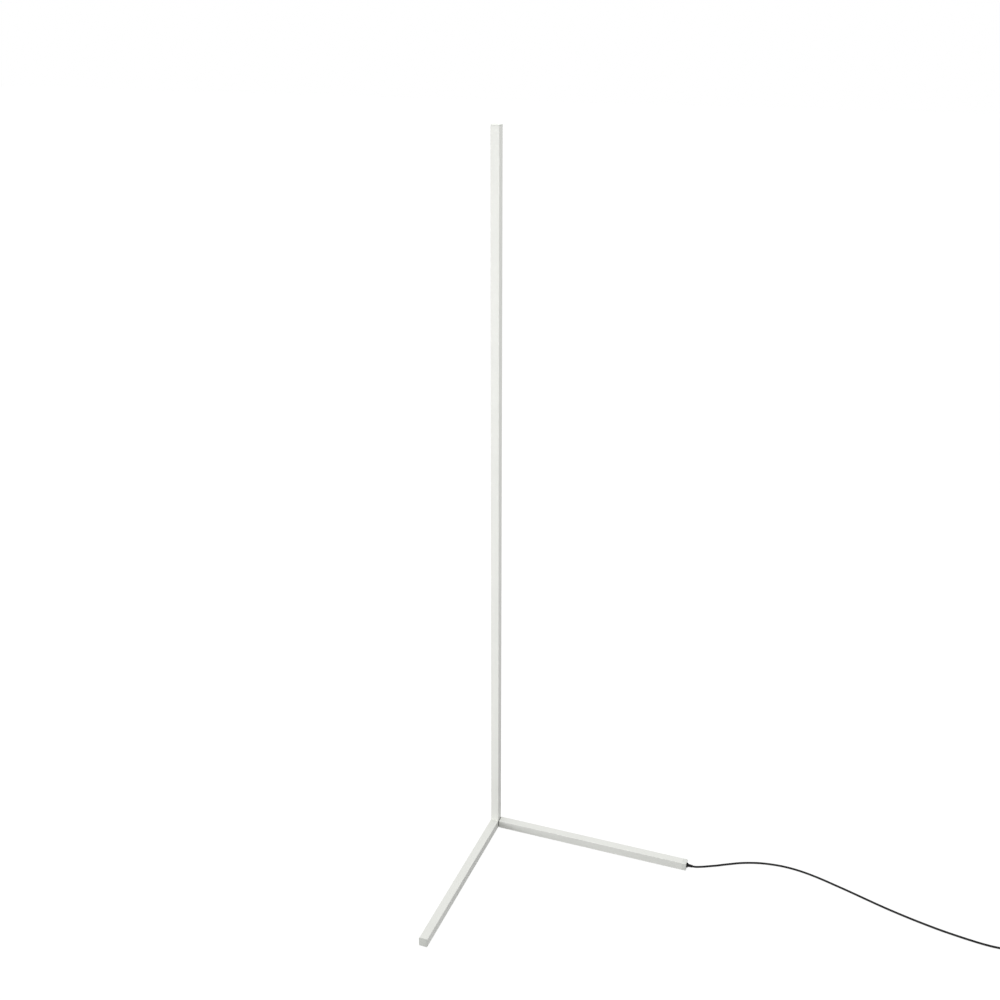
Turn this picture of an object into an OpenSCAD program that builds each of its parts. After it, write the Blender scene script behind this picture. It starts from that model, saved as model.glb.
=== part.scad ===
// Corner floor lamp: three slender square bars that meet at right angles in a room's corner.
// The upright is an open profile with its light side towards the two walls. The left leg runs
// under the upright along one wall, and the right leg is bolted to its side along the other.
// The origin is on the floor under the middle of the upright. The left leg points to -Y, the
// right leg to +X, and the walls are behind the faces at -X and +Y. All sizes are millimetres.

/* [Frame] */
// Height of the lamp from the floor
lamp_h = 1400; // [1000:10:1800]
// Width of the square section that the three bars share
bar_w = 16; // [15:0.5:24]
// Radius along the outer edges of the bars
edge_r = 0.6; // [0.2:0.1:1]
// Length of each leg's tube
leg_len = 385; // [250:5:500]
// Wall of the leg tubes
tube_wall = 1.5; // [1:0.1:2]
// Thickness of the closed cap on the left leg
end_cap_t = 2; // [1:0.5:6]
// Thickness of the cap that the lead leaves the right leg through
outlet_cap_t = 7.5; // [5:0.5:12]
// Depth that each cap reaches into its tube
cap_plug_len = 12; // [8:1:20]
// Wall of the caps' plugs
cap_plug_wall = 1.4; // [1:0.1:2]
// Thickness of the rubber pads
pad_t = 1; // [0.9:0.1:3]
// Width of the rubber pads
pad_w = 12; // [8:0.5:14]
// Distance from a leg's outer end to the middle of its pad
pad_inset = 20; // [10:1:40]

/* [Upright] */
// Wall of the upright's profile
profile_wall = 1.4; // [1:0.1:2]
// Thickness of the slanted seat that carries the light board
seat_t = 1.2; // [0.8:0.1:2]
// Wall round the profile's screw port
port_wall = 0.8; // [0.8:0.1:1.2]
// Wall of the opal cover
cover_t = 1.2; // [0.8:0.1:1.6]
// Length of the cover's inward feet past its wall
cover_foot = 0.8; // [0.6:0.1:1]
// Thickness of the top cap's plate
top_cap_t = 2; // [1:0.5:5]
// Length of the top cap's pin in the screw port
top_pin_len = 8; // [5:1:15]

/* [Light] */
// Width of the light board
board_w = 8; // [5:0.5:10]
// Thickness of the light board
board_t = 1; // [0.6:0.1:1.6]
// Distance from each end of the profile to the board
board_margin = 10; // [8:1:30]
// Spacing of the light chips
chip_pitch = 16.5; // [10:0.5:40]
// Length of a light chip, along the board
chip_l = 3.5; // [2:0.1:5]
// Width of a light chip
chip_w = 2.8; // [2:0.1:4]
// Thickness of a light chip
chip_t = 0.8; // [0.5:0.1:1.2]

/* [Corner joint] */
// Thickness of the dark spacer between the legs
spacer_t = 1.5; // [1:0.1:3]
// Distance that the spacer's edges stand back from the bars' faces
spacer_inset = 0.8; // [0.3:0.1:1.5]
// Length of the block in the left leg's rear end
block_len = 30; // [26:1:50]
// Length of the insert in the right leg's inner end
insert_len = 25; // [22:1:50]
// Diameter of the joint screws
screw_d = 4; // [3:0.5:4]
// Length of the joint screws under their heads
screw_len = 20; // [16:1:25]
// Diameter of the joint screws' heads
head_d = 7; // [5.5:0.5:7]
// Height of the joint screws' heads
head_h = 4; // [3:0.5:4]
// Width of the hexagon socket in the heads
socket_w = 3; // [2:0.5:3]
// Diameter of the rivets that hold the block and the insert
rivet_d = 3; // [2:0.5:3.2]
// Length of the rivets under their heads
rivet_len = 8; // [5:0.5:9]
// Thickness of the rivets' heads
rivet_head_t = 0.7; // [0.4:0.1:0.8]

/* [Lead] */
// Diameter of the low-voltage lead
lead_d = 4; // [3:0.1:4.5]
// Diameter of each wire inside the lead
wire_d = 1.2; // [0.8:0.1:1.3]
// Diameter of the relief's outer flange
relief_flange_d = 9.5; // [8.5:0.5:12]
// Thickness of the relief's outer flange
relief_flange_t = 3; // [1:0.5:5]
// Length of the relief's tapered tail
relief_tail_len = 9; // [6:1:30]
// Diameter of the relief's neck in the cap
relief_neck_d = 6.4; // [5.8:0.2:7]
// Length of jacket inside the leg
jacket_len = 20; // [12:1:40]
// Length of the crimped ring that stops the lead
crimp_len = 5; // [3:0.5:8]

/* [Switch] */
// Length of the in-line switch
switch_l = 60; // [50:1:80]
// Width of the in-line switch
switch_w = 24; // [22:1:32]
// Height of the in-line switch
switch_h = 12; // [12:0.5:16]
// Wall of the switch's shells
switch_wall = 1.6; // [1.2:0.1:2]
// Diameter of the push button
button_d = 11; // [8:0.5:13]
// Height of the button above the shell
button_rise = 1.6; // [1.3:0.1:3]
// Travel of the push button
button_travel = 1; // [0.5:0.1:1]
// Diameter of the switch's two screws
switch_screw_d = 2; // [1.6:0.1:2.2]

/* [Adapter] */
// Length of the adapter's case
adapter_l = 60; // [50:1:80]
// Width of the adapter's case
adapter_w = 40; // [36:1:60]
// Height of the adapter's case as it lies
adapter_h = 28; // [26:1:40]
// Wall of the adapter's case
adapter_wall = 2; // [1.5:0.1:3]
// Length of the adapter's front shell
adapter_front_l = 12; // [8:1:20]
// Diameter of the plug's pins
pin_d = 4; // [4:0.1:4.8]
// Length of the pins outside the case
pin_len = 19; // [15:0.5:20]
// Distance between the pins
pin_gap = 19; // [17:0.5:22]

/* [Hidden] */

$fn = 48;
fit_gap = 0.1;          // play between a piece and the tube or shell that it sits in
bore_gap = 0.05;        // play round a rod, pin or screw in its own bore
pass_gap = 0.15;        // play round a screw that passes through a wall
cut = 1;                // how far a cutting shape runs past the face that it cuts

// The three bars
half = bar_w / 2;
bar_z = pad_t;                              // underside of the legs
mid_z = bar_z + half;                       // middle of the legs
leg_top = bar_z + bar_w;
profile_top = lamp_h - top_cap_t;
left_end = half - leg_len;                  // outer end of the left tube, along Y
right_start = half + spacer_t;              // inner end of the right tube, along X
right_end = right_start + leg_len;
tube_in = half - tube_wall;                 // half of the tubes' inner width
plug_in = tube_in - fit_gap;                // half of the width of what fits in a tube

// The corner joint: one screw goes up into the upright, the other sideways into the right leg
shank_r = screw_d / 2;
pass_r = shank_r + pass_gap;
tapped_r = shank_r + bore_gap;
recess_r = head_d / 2 + fit_gap;
edge_web = 0.5;                             // distance from the foot screw's head to the tube's wall
screw_web = 1.2;                            // wall between the two screws' holes
port_at = tube_in - head_d / 2 - edge_web;  // the upright's screw is at (port_at, -port_at)
side_at = 2 * pass_r + screw_web - port_at; // the leg's screw is at this Y, at the legs' middle
screw_bite = head_h + screw_len - tube_in - right_start;  // the side screw's way into the insert
rivet_y = half - block_len + rivet_d + 4;   // the block's rivet, near its inner end
rivet_x = right_start + insert_len - rivet_d - 4;

// The way of the two wires through the joint
wire_r = wire_d / 2;
wire_side = wire_r + 0.15;                  // each wire lies this far beside the pair's middle
wire_hole_r = wire_side + wire_r + 0.25;
wire_web = 0.6;                             // wall between the wires' hole and a screw's hole
wire_z = mid_z + pass_r + wire_web + wire_hole_r;
wire_x = port_at - pass_r - wire_web - wire_hole_r;

// The upright's section
port_r = tapped_r;
port_skin = 0.15;                           // the seat's face stands this far over the port's ring
seat_at = port_r + port_wall + port_skin - port_at * sqrt(2);  // the face, along the diagonal
inner = half - profile_wall;                       // inner faces of the profile's two walls
board_z = leg_top + board_margin;
board_len = profile_top - leg_top - 2 * board_margin;
chip_count = floor((board_len - 3 * chip_l) / chip_pitch) + 1;
chip_z = board_z + (board_len - (chip_count - 1) * chip_pitch) / 2;

// The lead's way out of the right leg
outlet_end = right_end + outlet_cap_t;
snap_t = 1.6;                               // thickness of the relief's inner flange
snap_r = relief_neck_d / 2 + 0.9;
lead_r = lead_d / 2;
tail_end = outlet_end + relief_flange_t + relief_tail_len;
tail_tip_r = lead_r + 0.5;                  // radius of the relief's tail at its thin end
jacket_start = right_end - jacket_len;

// The free lead. Its points are [x, y, share of the height that it still has to fall or rise].
// The first list starts at the tip of the relief, and the second leads up into the switch.
axis_z = switch_h / 2;
fall_points = [
    [0, 0, 1], [3, 0.1, 1], [7, 1.1, 0.98], [13, 4, 0.92], [22, 10, 0.72], [32, 18, 0.44],
    [43, 26, 0.19], [56, 35, 0.06], [71, 44, 0], [86, 52, 0], [103, 59, 0], [122, 65, 0], [143, 69, 0],
    [166, 71, 0], [190, 70, 0], [215, 66, 0], [242, 59, 0], [270, 50, 0], [300, 40, 0],
    [331, 29, 0], [363, 18, 0], [396, 8, 0], [430, -1, 0], [465, -9, 0], [500, -15, 0]
];
rise_points = [
    [530, -19, 0], [553, -21, 0.1], [573, -22, 0.5], [584, -22, 0.9], [590, -22, 1], [604, -22, 1]
];
fall = mid_z - lead_r;
rise = axis_z - lead_r;
run_points = concat(
    [for (p = fall_points) [tail_end + p[0], p[1], lead_r + fall * p[2]]],
    [for (p = rise_points) [tail_end + p[0], p[1], lead_r + rise * p[2]]]
);

// The switch lies at the end of that run. Its shells meet at the lead's axis.
switch_x = tail_end + 590 + switch_l / 2;
switch_y = -22;
switch_bottom = switch_wall;                // inner face of the base
switch_head_h = 1.2;                        // height of the screws' heads
head_sink = 0.3;                            // the heads lie this far inside the base's underside
post_r = switch_screw_d / 2 + 1.3;          // radius of the posts round the screws
post_x = switch_l / 2 - 9;                  // the posts' place, from the switch's middle
post_y = lead_r + post_r + 0.6;             // the posts stand beside the lead
switch_board_t = 1;
key_w = 6;                                  // the key that the button presses
key_h = 2.4;
key_top = switch_bottom + switch_board_t + key_h;
button_gap = 0.3;                           // play round the button
button_flange_t = 1;
button_flange = 1;                          // width of the rim that holds the button in

// The coil: its turns lie three across and three high, and a tie goes round them
turns_across = 3;
turns_high = 3;
tie_w = 10;
tie_t = 0.7;
coil_mid_r = 20;
coil_r = coil_mid_r + (turns_across - 1) / 2 * lead_d;   // the outermost turn
coil_z = tie_t + fit_gap;                                // the tie lies under the turns
coil_x = switch_x + switch_l / 2 + 40;
coil_y = switch_y - coil_r;                              // on the room's side of the lead
coil_in = coil_mid_r - turns_across / 2 * lead_d;
coil_out = coil_mid_r + turns_across / 2 * lead_d;
coil_h = turns_high * lead_d;
low_turn = coil_z + lead_r;
high_turn = coil_z + coil_h - lead_r;
switch_end = switch_x + switch_l / 2;
link_points = [
    [switch_end - 14, switch_y, axis_z],
    [switch_end, switch_y, axis_z],
    [switch_end + 8, switch_y, axis_z - 0.4],
    [switch_end + 18, switch_y, (axis_z + low_turn) / 2],
    [switch_end + 28, switch_y, low_turn + 0.3],
    [coil_x, switch_y, low_turn]
];

// The adapter lies beside the coil, with its pins away from it
adapter_x = coil_x + coil_r;
adapter_relief_len = 14;
tail_len = 41;
adapter_y = coil_y - tail_len - adapter_relief_len;      // the case's cord end
adapter_z = adapter_h / 2;
cord_in = adapter_wall + 10;                             // length of the lead inside the case
tail_points = [
    [adapter_x, coil_y, high_turn],
    [adapter_x, coil_y - 11, high_turn + 0.3],
    [adapter_x, coil_y - 22, high_turn + (adapter_z - high_turn) * 0.4],
    [adapter_x, coil_y - 33, high_turn + (adapter_z - high_turn) * 0.9],
    [adapter_x, coil_y - tail_len, adapter_z],
    [adapter_x, adapter_y - cord_in, adapter_z]
];

paint = [0.925, 0.930, 0.910];
opal = [0.96, 0.96, 0.94];
bare_metal = [0.72, 0.73, 0.74];
black = [0.06, 0.06, 0.065];
circuit = [0.92, 0.92, 0.90];

// A square or a rectangle with round corners, from exact arcs
module round_rect(w, h, r) {
    square([w - 2 * r, h], center = true);
    square([w, h - 2 * r], center = true);
    for (x = [-1, 1], y = [-1, 1])
        translate([x * (w / 2 - r), y * (h / 2 - r)]) circle(r);
}

// A bar with round ends
module stadium(l, w) {
    square([l - w, w], center = true);
    for (x = [-1, 1]) translate([x * (l - w) / 2, 0]) circle(w / 2);
}

// A straight prism of a section, from the start point towards +X or towards -Y
module along_x(start, len) {
    translate(start) rotate([90, 0, 90]) linear_extrude(len) children();
}
module along_minus_y(start, len) {
    translate(start) rotate([90, 0, 0]) linear_extrude(len) children();
}

// A point of the smooth curve through four neighbours, at share t between the middle two
function between(a, b, c, d, t) =
    0.5 * (2 * b + (c - a) * t + (2 * a - 5 * b + 4 * c - d) * t * t
    + (3 * b - a - 3 * c + d) * t * t * t);
function smooth(p, steps) = concat(
    [for (i = [0 : len(p) - 2], k = [0 : steps - 1])
        between(p[max(i - 1, 0)], p[i], p[i + 1], p[min(i + 2, len(p) - 1)], k / steps)],
    [p[len(p) - 1]]
);
function unit(v) = v / norm(v);
function on_floor(p) = [for (q = p) [q[0], q[1], max(q[2], lead_r)]];

// A tube of n sides along points whose way is never that of the vector across
module swept_tube(p, r, across = [0, 0, 1], n = 8) {
    last = len(p) - 1;
    rings = [for (i = [0 : last])
        let (t = unit(p[min(i + 1, last)] - p[max(i - 1, 0)]),
             side = unit(cross(t, across)),
             up = cross(side, t))
        for (k = [0 : n - 1]) p[i] + r * (cos(360 * k / n) * side + sin(360 * k / n) * up)];
    walls = [for (i = [0 : last - 1], k = [0 : n - 1])
        let (m = (k + 1) % n) [i * n + k, i * n + m, (i + 1) * n + m, (i + 1) * n + k]];
    polyhedron(rings, concat(
        walls,
        [[for (k = [n - 1 : -1 : 0]) k]],
        [[for (k = [0 : n - 1]) last * n + k]]
    ));
}

// The upright's foot screw and the side screw, as cutting shapes or as the screws themselves
module at_foot_screw() {
    translate([port_at, -port_at, bar_z + tube_wall]) children();
}
module at_side_screw() {
    translate([-tube_in, side_at, mid_z]) rotate([0, 90, 0]) children();
}
socket_r = socket_w / sqrt(3);
module joint_screw() {
    difference() {
        union() {
            cylinder(head_h, head_d / 2, head_d / 2);
            translate([0, 0, head_h]) cylinder(screw_len, shank_r, shank_r);
        }
        translate([0, 0, -cut]) cylinder(head_h / 2 + cut, socket_r, socket_r, $fn = 6);
    }
}
module screw_way() {
    translate([0, 0, -cut]) cylinder(head_h + cut, recess_r, recess_r);
    cylinder(head_h + screw_len, pass_r, pass_r);
}
module screw_door() {
    translate([0, 0, -tube_wall - cut]) cylinder(tube_wall + 2 * cut, recess_r, recess_r);
}

// The wires' holes: level through the joint, then up into the upright
module level_wire_hole(from_x, to_x) {
    translate([from_x, side_at, wire_z]) rotate([0, 90, 0])
        cylinder(to_x - from_x, wire_hole_r, wire_hole_r);
}
module upward_wire_hole() {
    translate([wire_x, side_at, wire_z]) cylinder(leg_top + cut - wire_z, wire_hole_r, wire_hole_r);
}

module bar_section() {
    round_rect(bar_w, bar_w, edge_r);
}
module tube_section() {
    difference() {
        bar_section();
        square(2 * tube_in, center = true);
    }
}
module rivet_hole(x, y) {
    r = rivet_d / 2 + bore_gap;
    translate([x, y, bar_z - cut]) cylinder(cut + rivet_len + fit_gap, r, r);
}

module left_leg_tube() {
    color(paint) difference() {
        along_minus_y([0, half, mid_z], leg_len) tube_section();
        at_foot_screw() screw_door();
        at_foot_screw() cylinder(bar_w, pass_r, pass_r);
        at_side_screw() screw_door();
        at_side_screw() cylinder(bar_w, pass_r, pass_r);
        level_wire_hole(0, half + cut);
        upward_wire_hole();
        rivet_hole(0, rivet_y);
    }
}

module right_leg_tube() {
    color(paint) difference() {
        along_x([right_start, 0, mid_z], leg_len) tube_section();
        rivet_hole(rivet_x, 0);
    }
}

// The profile's two outer walls, its slanted seat and the screw port behind the seat
module upright_section() {
    difference() {
        intersection() {
            bar_section();
            union() {
                translate([-half, -half]) square([bar_w, profile_wall]);
                translate([inner, -half]) square([profile_wall, bar_w]);
                rotate(135) translate([seat_at - seat_t, -bar_w]) square([seat_t, 2 * bar_w]);
                translate([port_at, -port_at]) circle(port_r + port_wall);
            }
        }
        translate([port_at, -port_at]) circle(port_r);
    }
}
module upright_profile() {
    color(paint) translate([0, 0, leg_top]) linear_extrude(profile_top - leg_top) upright_section();
}

// The opal cover closes the two wall sides of the upright, and its feet stand inside the profile
module cover_section() {
    reach = half + inner - fit_gap;
    foot = cover_t + cover_foot;
    intersection() {
        bar_section();
        union() {
            translate([-half, half - cover_t]) square([reach, cover_t]);
            translate([-half, fit_gap - inner]) square([cover_t, reach]);
            translate([-half, fit_gap - inner]) square([foot, cover_foot]);
            translate([inner - fit_gap - cover_foot, half - foot]) square([cover_foot, foot]);
        }
    }
}
module light_cover() {
    color(opal) translate([0, 0, leg_top]) linear_extrude(profile_top - leg_top) cover_section();
}

module on_seat() {
    rotate([0, 0, 135]) translate([seat_at, 0, 0]) children();
}
module light_board() {
    color(circuit) on_seat() translate([0, -board_w / 2, board_z]) cube([board_t, board_w, board_len]);
}
module light_chips() {
    color("gold") on_seat() for (i = [0 : chip_count - 1])
        translate([board_t, -chip_w / 2, chip_z + i * chip_pitch - chip_l / 2])
            cube([chip_t, chip_w, chip_l]);
}

// A point in front of the light board, in the lamp's own frame
function off_seat(out, side, z) =
    [-(seat_at + out + side) / sqrt(2), (seat_at + out - side) / sqrt(2), z];

// Two wires from the end of the lead's jacket to the foot of the light board
module board_wires() {
    bend = 1.2;                             // the wires' turn from the leg into the upright
    drift = 25;                             // length along the leg in which they rise to the joint's hole
    at_foot = board_t + wire_r + bore_gap;
    for (s = [-1, 1]) color(s < 0 ? "firebrick" : "dimgray") swept_tube([
        [jacket_start, s * wire_side, mid_z],
        [jacket_start - 3, s * wire_side, mid_z],
        [jacket_start - 8, s * wire_side, mid_z + 0.4],
        [jacket_start - drift + 5, side_at + s * wire_side, wire_z - 0.4],
        [jacket_start - drift, side_at + s * wire_side, wire_z],
        [wire_x + bend, side_at + s * wire_side, wire_z],
        [wire_x + bend / 3, side_at + s * wire_side, wire_z + bend / 3],
        [wire_x, side_at + s * wire_side, wire_z + bend],
        [wire_x, side_at + s * wire_side, leg_top + 1],
        off_seat(at_foot, -s * wire_side, board_z),
        off_seat(at_foot, -s * wire_side, board_z + 4)
    ], wire_r, [0, 1, 0]);
}

module top_cap() {
    boss = 3;                               // it fills the corner of the cover
    pin_r = port_r - bore_gap;
    color(paint) translate([0, 0, profile_top]) {
        linear_extrude(top_cap_t) bar_section();
        translate([port_at, -port_at, -top_pin_len]) cylinder(top_pin_len, pin_r, pin_r);
        translate([cover_t + fit_gap - half, half - cover_t - fit_gap - boss, -boss]) cube(boss);
    }
}

// A cap with a hollow plug: the plate is flush with the tube's faces
module cap(plate_t) {
    linear_extrude(plate_t) bar_section();
    translate([0, 0, -cap_plug_len]) linear_extrude(cap_plug_len) difference() {
        square(2 * plug_in, center = true);
        square(2 * (plug_in - cap_plug_wall), center = true);
    }
}
module left_end_cap() {
    color(paint) translate([0, left_end, mid_z]) rotate([90, 0, 0]) cap(end_cap_t);
}
module outlet_cap() {
    bore = relief_neck_d / 2 + bore_gap;
    color(paint) difference() {
        translate([right_end, 0, mid_z]) rotate([90, 0, 90]) cap(outlet_cap_t);
        translate([right_end - cut, 0, mid_z]) rotate([0, 90, 0])
            cylinder(outlet_cap_t + 2 * cut, bore, bore);
    }
}

module corner_block() {
    size = 2 * plug_in;
    color(bare_metal) difference() {
        translate([-plug_in, half - block_len, mid_z - plug_in]) cube([size, block_len, size]);
        at_foot_screw() screw_way();
        at_side_screw() screw_way();
        level_wire_hole(wire_x, half);
        upward_wire_hole();
        rivet_hole(0, rivet_y);
    }
}

module leg_insert() {
    size = 2 * plug_in;
    color(bare_metal) difference() {
        translate([right_start, -plug_in, mid_z - plug_in]) cube([insert_len, size, size]);
        translate([right_start - cut, side_at, mid_z]) rotate([0, 90, 0])
            cylinder(cut + screw_bite + 2, tapped_r, tapped_r);
        level_wire_hole(right_start - cut, right_start + insert_len + cut);
        rivet_hole(rivet_x, 0);
    }
}

module joint_spacer() {
    spacer_w = bar_w - 2 * spacer_inset;
    color(black) difference() {
        along_x([half, 0, mid_z], spacer_t) round_rect(spacer_w, spacer_w, edge_r);
        at_side_screw() cylinder(2 * bar_w, pass_r, pass_r);
        level_wire_hole(0, right_start + cut);
    }
}

module joint_screws() {
    color(bare_metal) {
        at_foot_screw() joint_screw();
        at_side_screw() joint_screw();
    }
}

module rivet(x, y) {
    translate([x, y, bar_z - rivet_head_t]) cylinder(rivet_head_t, rivet_d, rivet_d);
    translate([x, y, bar_z]) cylinder(rivet_len, rivet_d / 2, rivet_d / 2);
}
module block_rivets() {
    color(bare_metal) {
        rivet(0, rivet_y);
        rivet(rivet_x, 0);
    }
}

module floor_pads() {
    pad_r = 2;
    color(black) for (at = [[0, 0], [0, left_end + pad_inset], [right_end - pad_inset, 0]])
        translate(at) linear_extrude(pad_t) round_rect(pad_w, pad_w, pad_r);
}

// A turned piece whose profile is given as [distance along the axis, radius] points
module turned(profile) {
    rotate_extrude() polygon([for (p = profile) [p[1], p[0]]]);
}

module strain_relief() {
    bore = lead_r + bore_gap;
    neck_r = relief_neck_d / 2;
    root_r = tail_tip_r + 0.7;
    color(black) translate([outlet_end, 0, mid_z]) rotate([0, 90, 0]) turned([
        [-outlet_cap_t - snap_t, bore], [-outlet_cap_t - snap_t, neck_r],
        [-outlet_cap_t - bore_gap, snap_r], [-outlet_cap_t - bore_gap, neck_r], [0, neck_r],
        [0, relief_flange_d / 2], [relief_flange_t - 1, relief_flange_d / 2],
        [relief_flange_t, root_r + 0.4], [relief_flange_t, root_r],
        [relief_flange_t + relief_tail_len, tail_tip_r], [relief_flange_t + relief_tail_len, bore]
    ]);
}

module inner_lead() {
    color(black) translate([jacket_start, 0, mid_z]) rotate([0, 90, 0])
        cylinder(tail_end - jacket_start, lead_r, lead_r);
}

module crimp_ring() {
    bore = lead_r + bore_gap;
    outer = lead_r + 1.2;
    start = right_end - snap_t - fit_gap - crimp_len;
    color(bare_metal) translate([start, 0, mid_z]) rotate([0, 90, 0])
        turned([[0, bore], [0, outer], [crimp_len, outer], [crimp_len, bore]]);
}

module lead_run() {
    color(black) swept_tube(on_floor(smooth(run_points, 2)), lead_r);
}
module lead_link() {
    color(black) swept_tube(link_points, lead_r);
}
module lead_tail() {
    color(black) swept_tube(tail_points, lead_r);
}
module lead_coil() {
    color(black) translate([coil_x, coil_y, coil_z + coil_h / 2]) rotate_extrude()
        translate([coil_mid_r, 0]) round_rect(coil_out - coil_in, coil_h, lead_r);
}
module coil_tie() {
    gap = fit_gap;
    w = coil_out - coil_in + 2 * gap;
    h = coil_h + 2 * gap;
    sweep = tie_w / coil_mid_r * 180 / PI;
    color(black) translate([coil_x, coil_y, coil_z + coil_h / 2]) rotate(-90 - sweep / 2)
        rotate_extrude(angle = sweep) translate([coil_mid_r, 0]) difference() {
            round_rect(w + 2 * tie_t, h + 2 * tie_t, lead_r + tie_t);
            round_rect(w, h, lead_r);
        }
}

// The in-line switch: two shells that meet at the lead's axis, with a push button on top
module at_switch() {
    translate([switch_x, switch_y, 0]) children();
}
module switch_space() {
    stadium(switch_l - 2 * switch_wall, switch_w - 2 * switch_wall);
}
module at_posts() {
    for (s = [-1, 1]) translate([s * post_x, s * post_y, 0]) children();
}
module upright_rod(from_z, to_z, r) {
    translate([0, 0, from_z]) cylinder(to_z - from_z, r, r);
}
module lead_way() {
    translate([-switch_l, 0, axis_z]) rotate([0, 90, 0])
        cylinder(2 * switch_l, lead_r + bore_gap, lead_r + bore_gap);
}
module switch_base() {
    color(black) at_switch() difference() {
        union() {
            difference() {
                linear_extrude(axis_z) stadium(switch_l, switch_w);
                translate([0, 0, switch_wall]) linear_extrude(axis_z) switch_space();
            }
            at_posts() upright_rod(0, axis_z, post_r);
        }
        lead_way();
        at_posts() upright_rod(-cut, axis_z + cut, switch_screw_d / 2 + pass_gap);
        at_posts() upright_rod(-cut, head_sink + switch_head_h, switch_screw_d + fit_gap);
    }
}
module switch_cover() {
    top = switch_h - axis_z;
    color(black) at_switch() translate([0, 0, axis_z]) difference() {
        union() {
            difference() {
                linear_extrude(top) stadium(switch_l, switch_w);
                translate([0, 0, -switch_wall]) linear_extrude(top) switch_space();
            }
            at_posts() upright_rod(0, top, post_r);
        }
        translate([0, 0, -axis_z]) lead_way();
        upright_rod(-cut, top + cut, button_d / 2 + button_gap);
        at_posts() upright_rod(-cut, top - switch_wall, switch_screw_d / 2 + bore_gap);
    }
}
module switch_button() {
    flange_top = switch_h - switch_wall - bore_gap;
    stem_r = 1.6;
    flange_low = flange_top - button_flange_t;
    color([0.30, 0.30, 0.32]) at_switch() {
        upright_rod(flange_low, flange_top, button_d / 2 + button_flange);
        upright_rod(flange_low, switch_h + button_rise, button_d / 2);
        upright_rod(key_top + button_travel + bore_gap, flange_top, stem_r);
    }
}
module switch_board() {
    board_l = switch_l - 32;
    board_wide = switch_w - 2 * switch_wall - 6;
    color(circuit) at_switch() {
        translate([-board_l / 2, -board_wide / 2, switch_wall]) cube([board_l, board_wide, switch_board_t]);
        translate([-key_w / 2, -key_w / 2, switch_wall + switch_board_t]) cube([key_w, key_w, key_h]);
    }
}
module switch_screws() {
    color(bare_metal) at_switch() at_posts() {
        upright_rod(head_sink, head_sink + switch_head_h, switch_screw_d);
        upright_rod(head_sink, switch_h - switch_wall - 0.5, switch_screw_d / 2);
    }
}

// The plug-in adapter: a case in two shells, its pins, its board and a relief for the lead
case_r = 4;
front_y = adapter_y - adapter_l;
board_low = adapter_wall + 2;               // underside of the adapter's board, on two rails
relief_root = lead_r + 1.6;                 // radius of the adapter's relief in the case's wall
module at_adapter(y) {
    translate([adapter_x, y, adapter_z]) rotate([90, 0, 0]) children();
}
module adapter_back() {
    depth = adapter_l - adapter_front_l;
    hole = relief_root + bore_gap;
    rail_w = 2;
    color(black) {
        difference() {
            at_adapter(adapter_y) linear_extrude(depth) round_rect(adapter_w, adapter_h, case_r);
            at_adapter(adapter_y - adapter_wall) linear_extrude(depth) case_space();
            at_adapter(adapter_y + cut) cylinder(adapter_wall + 2 * cut, hole, hole);
        }
        for (s = [-1, 1])
            translate([adapter_x + s * adapter_w / 4 - rail_w / 2, adapter_y - depth, adapter_wall / 2])
                cube([rail_w, depth - adapter_wall / 2, board_low - adapter_wall / 2]);
    }
}
module case_space() {
    round_rect(adapter_w - 2 * adapter_wall, adapter_h - 2 * adapter_wall, case_r - adapter_wall);
}
module adapter_front() {
    color(black) difference() {
        at_adapter(front_y + adapter_front_l) linear_extrude(adapter_front_l)
            round_rect(adapter_w, adapter_h, case_r);
        at_adapter(front_y + adapter_front_l + cut) linear_extrude(adapter_front_l + cut - adapter_wall)
            case_space();
        for (s = [-1, 1]) translate([s * pin_gap / 2, 0, 0]) at_adapter(front_y + adapter_wall + cut)
            cylinder(adapter_wall + 2 * cut, pin_d / 2 + bore_gap, pin_d / 2 + bore_gap);
    }
}
module adapter_pins() {
    root = 5;                               // length of a pin inside the case
    tip_r = pin_d / 2;
    color(bare_metal) for (s = [-1, 1]) translate([s * pin_gap / 2, 0, 0]) at_adapter(front_y + root) {
        cylinder(root + pin_len - tip_r, tip_r, tip_r);
        translate([0, 0, root + pin_len - tip_r]) sphere(tip_r);
    }
}
module adapter_board() {
    inset = 8;                              // clear space in front of and behind the board
    long = adapter_l - 2 * inset - adapter_wall;
    wide = adapter_w - 2 * adapter_wall - 2;
    board = 1.6;
    tall = adapter_h / 2 - 2;
    back = front_y + inset;
    color("seagreen") translate([adapter_x - wide / 2, back, board_low]) cube([wide, long, board]);
    color("dimgray") translate([adapter_x - wide / 2 + 2, back + 10, board_low + board])
        cube([wide / 2, 18, tall]);
    color("steelblue") for (k = [0, 1])
        translate([adapter_x + wide / 4, back + 8 + 14 * k, board_low + board]) cylinder(tall, 4.5, 4.5);
}
module adapter_relief() {
    bore = lead_r + bore_gap;
    inside = -adapter_wall - bore_gap;
    rim = relief_root + 1.2;
    color(black) translate([adapter_x, adapter_y, adapter_z]) rotate([-90, 0, 0]) turned([
        [inside - 2, bore], [inside - 2, rim], [inside, rim], [inside, relief_root], [0, relief_root],
        [0, rim], [1.6, rim], [1.6, relief_root],
        [adapter_relief_len, tail_tip_r], [adapter_relief_len, bore]
    ]);
}

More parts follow.
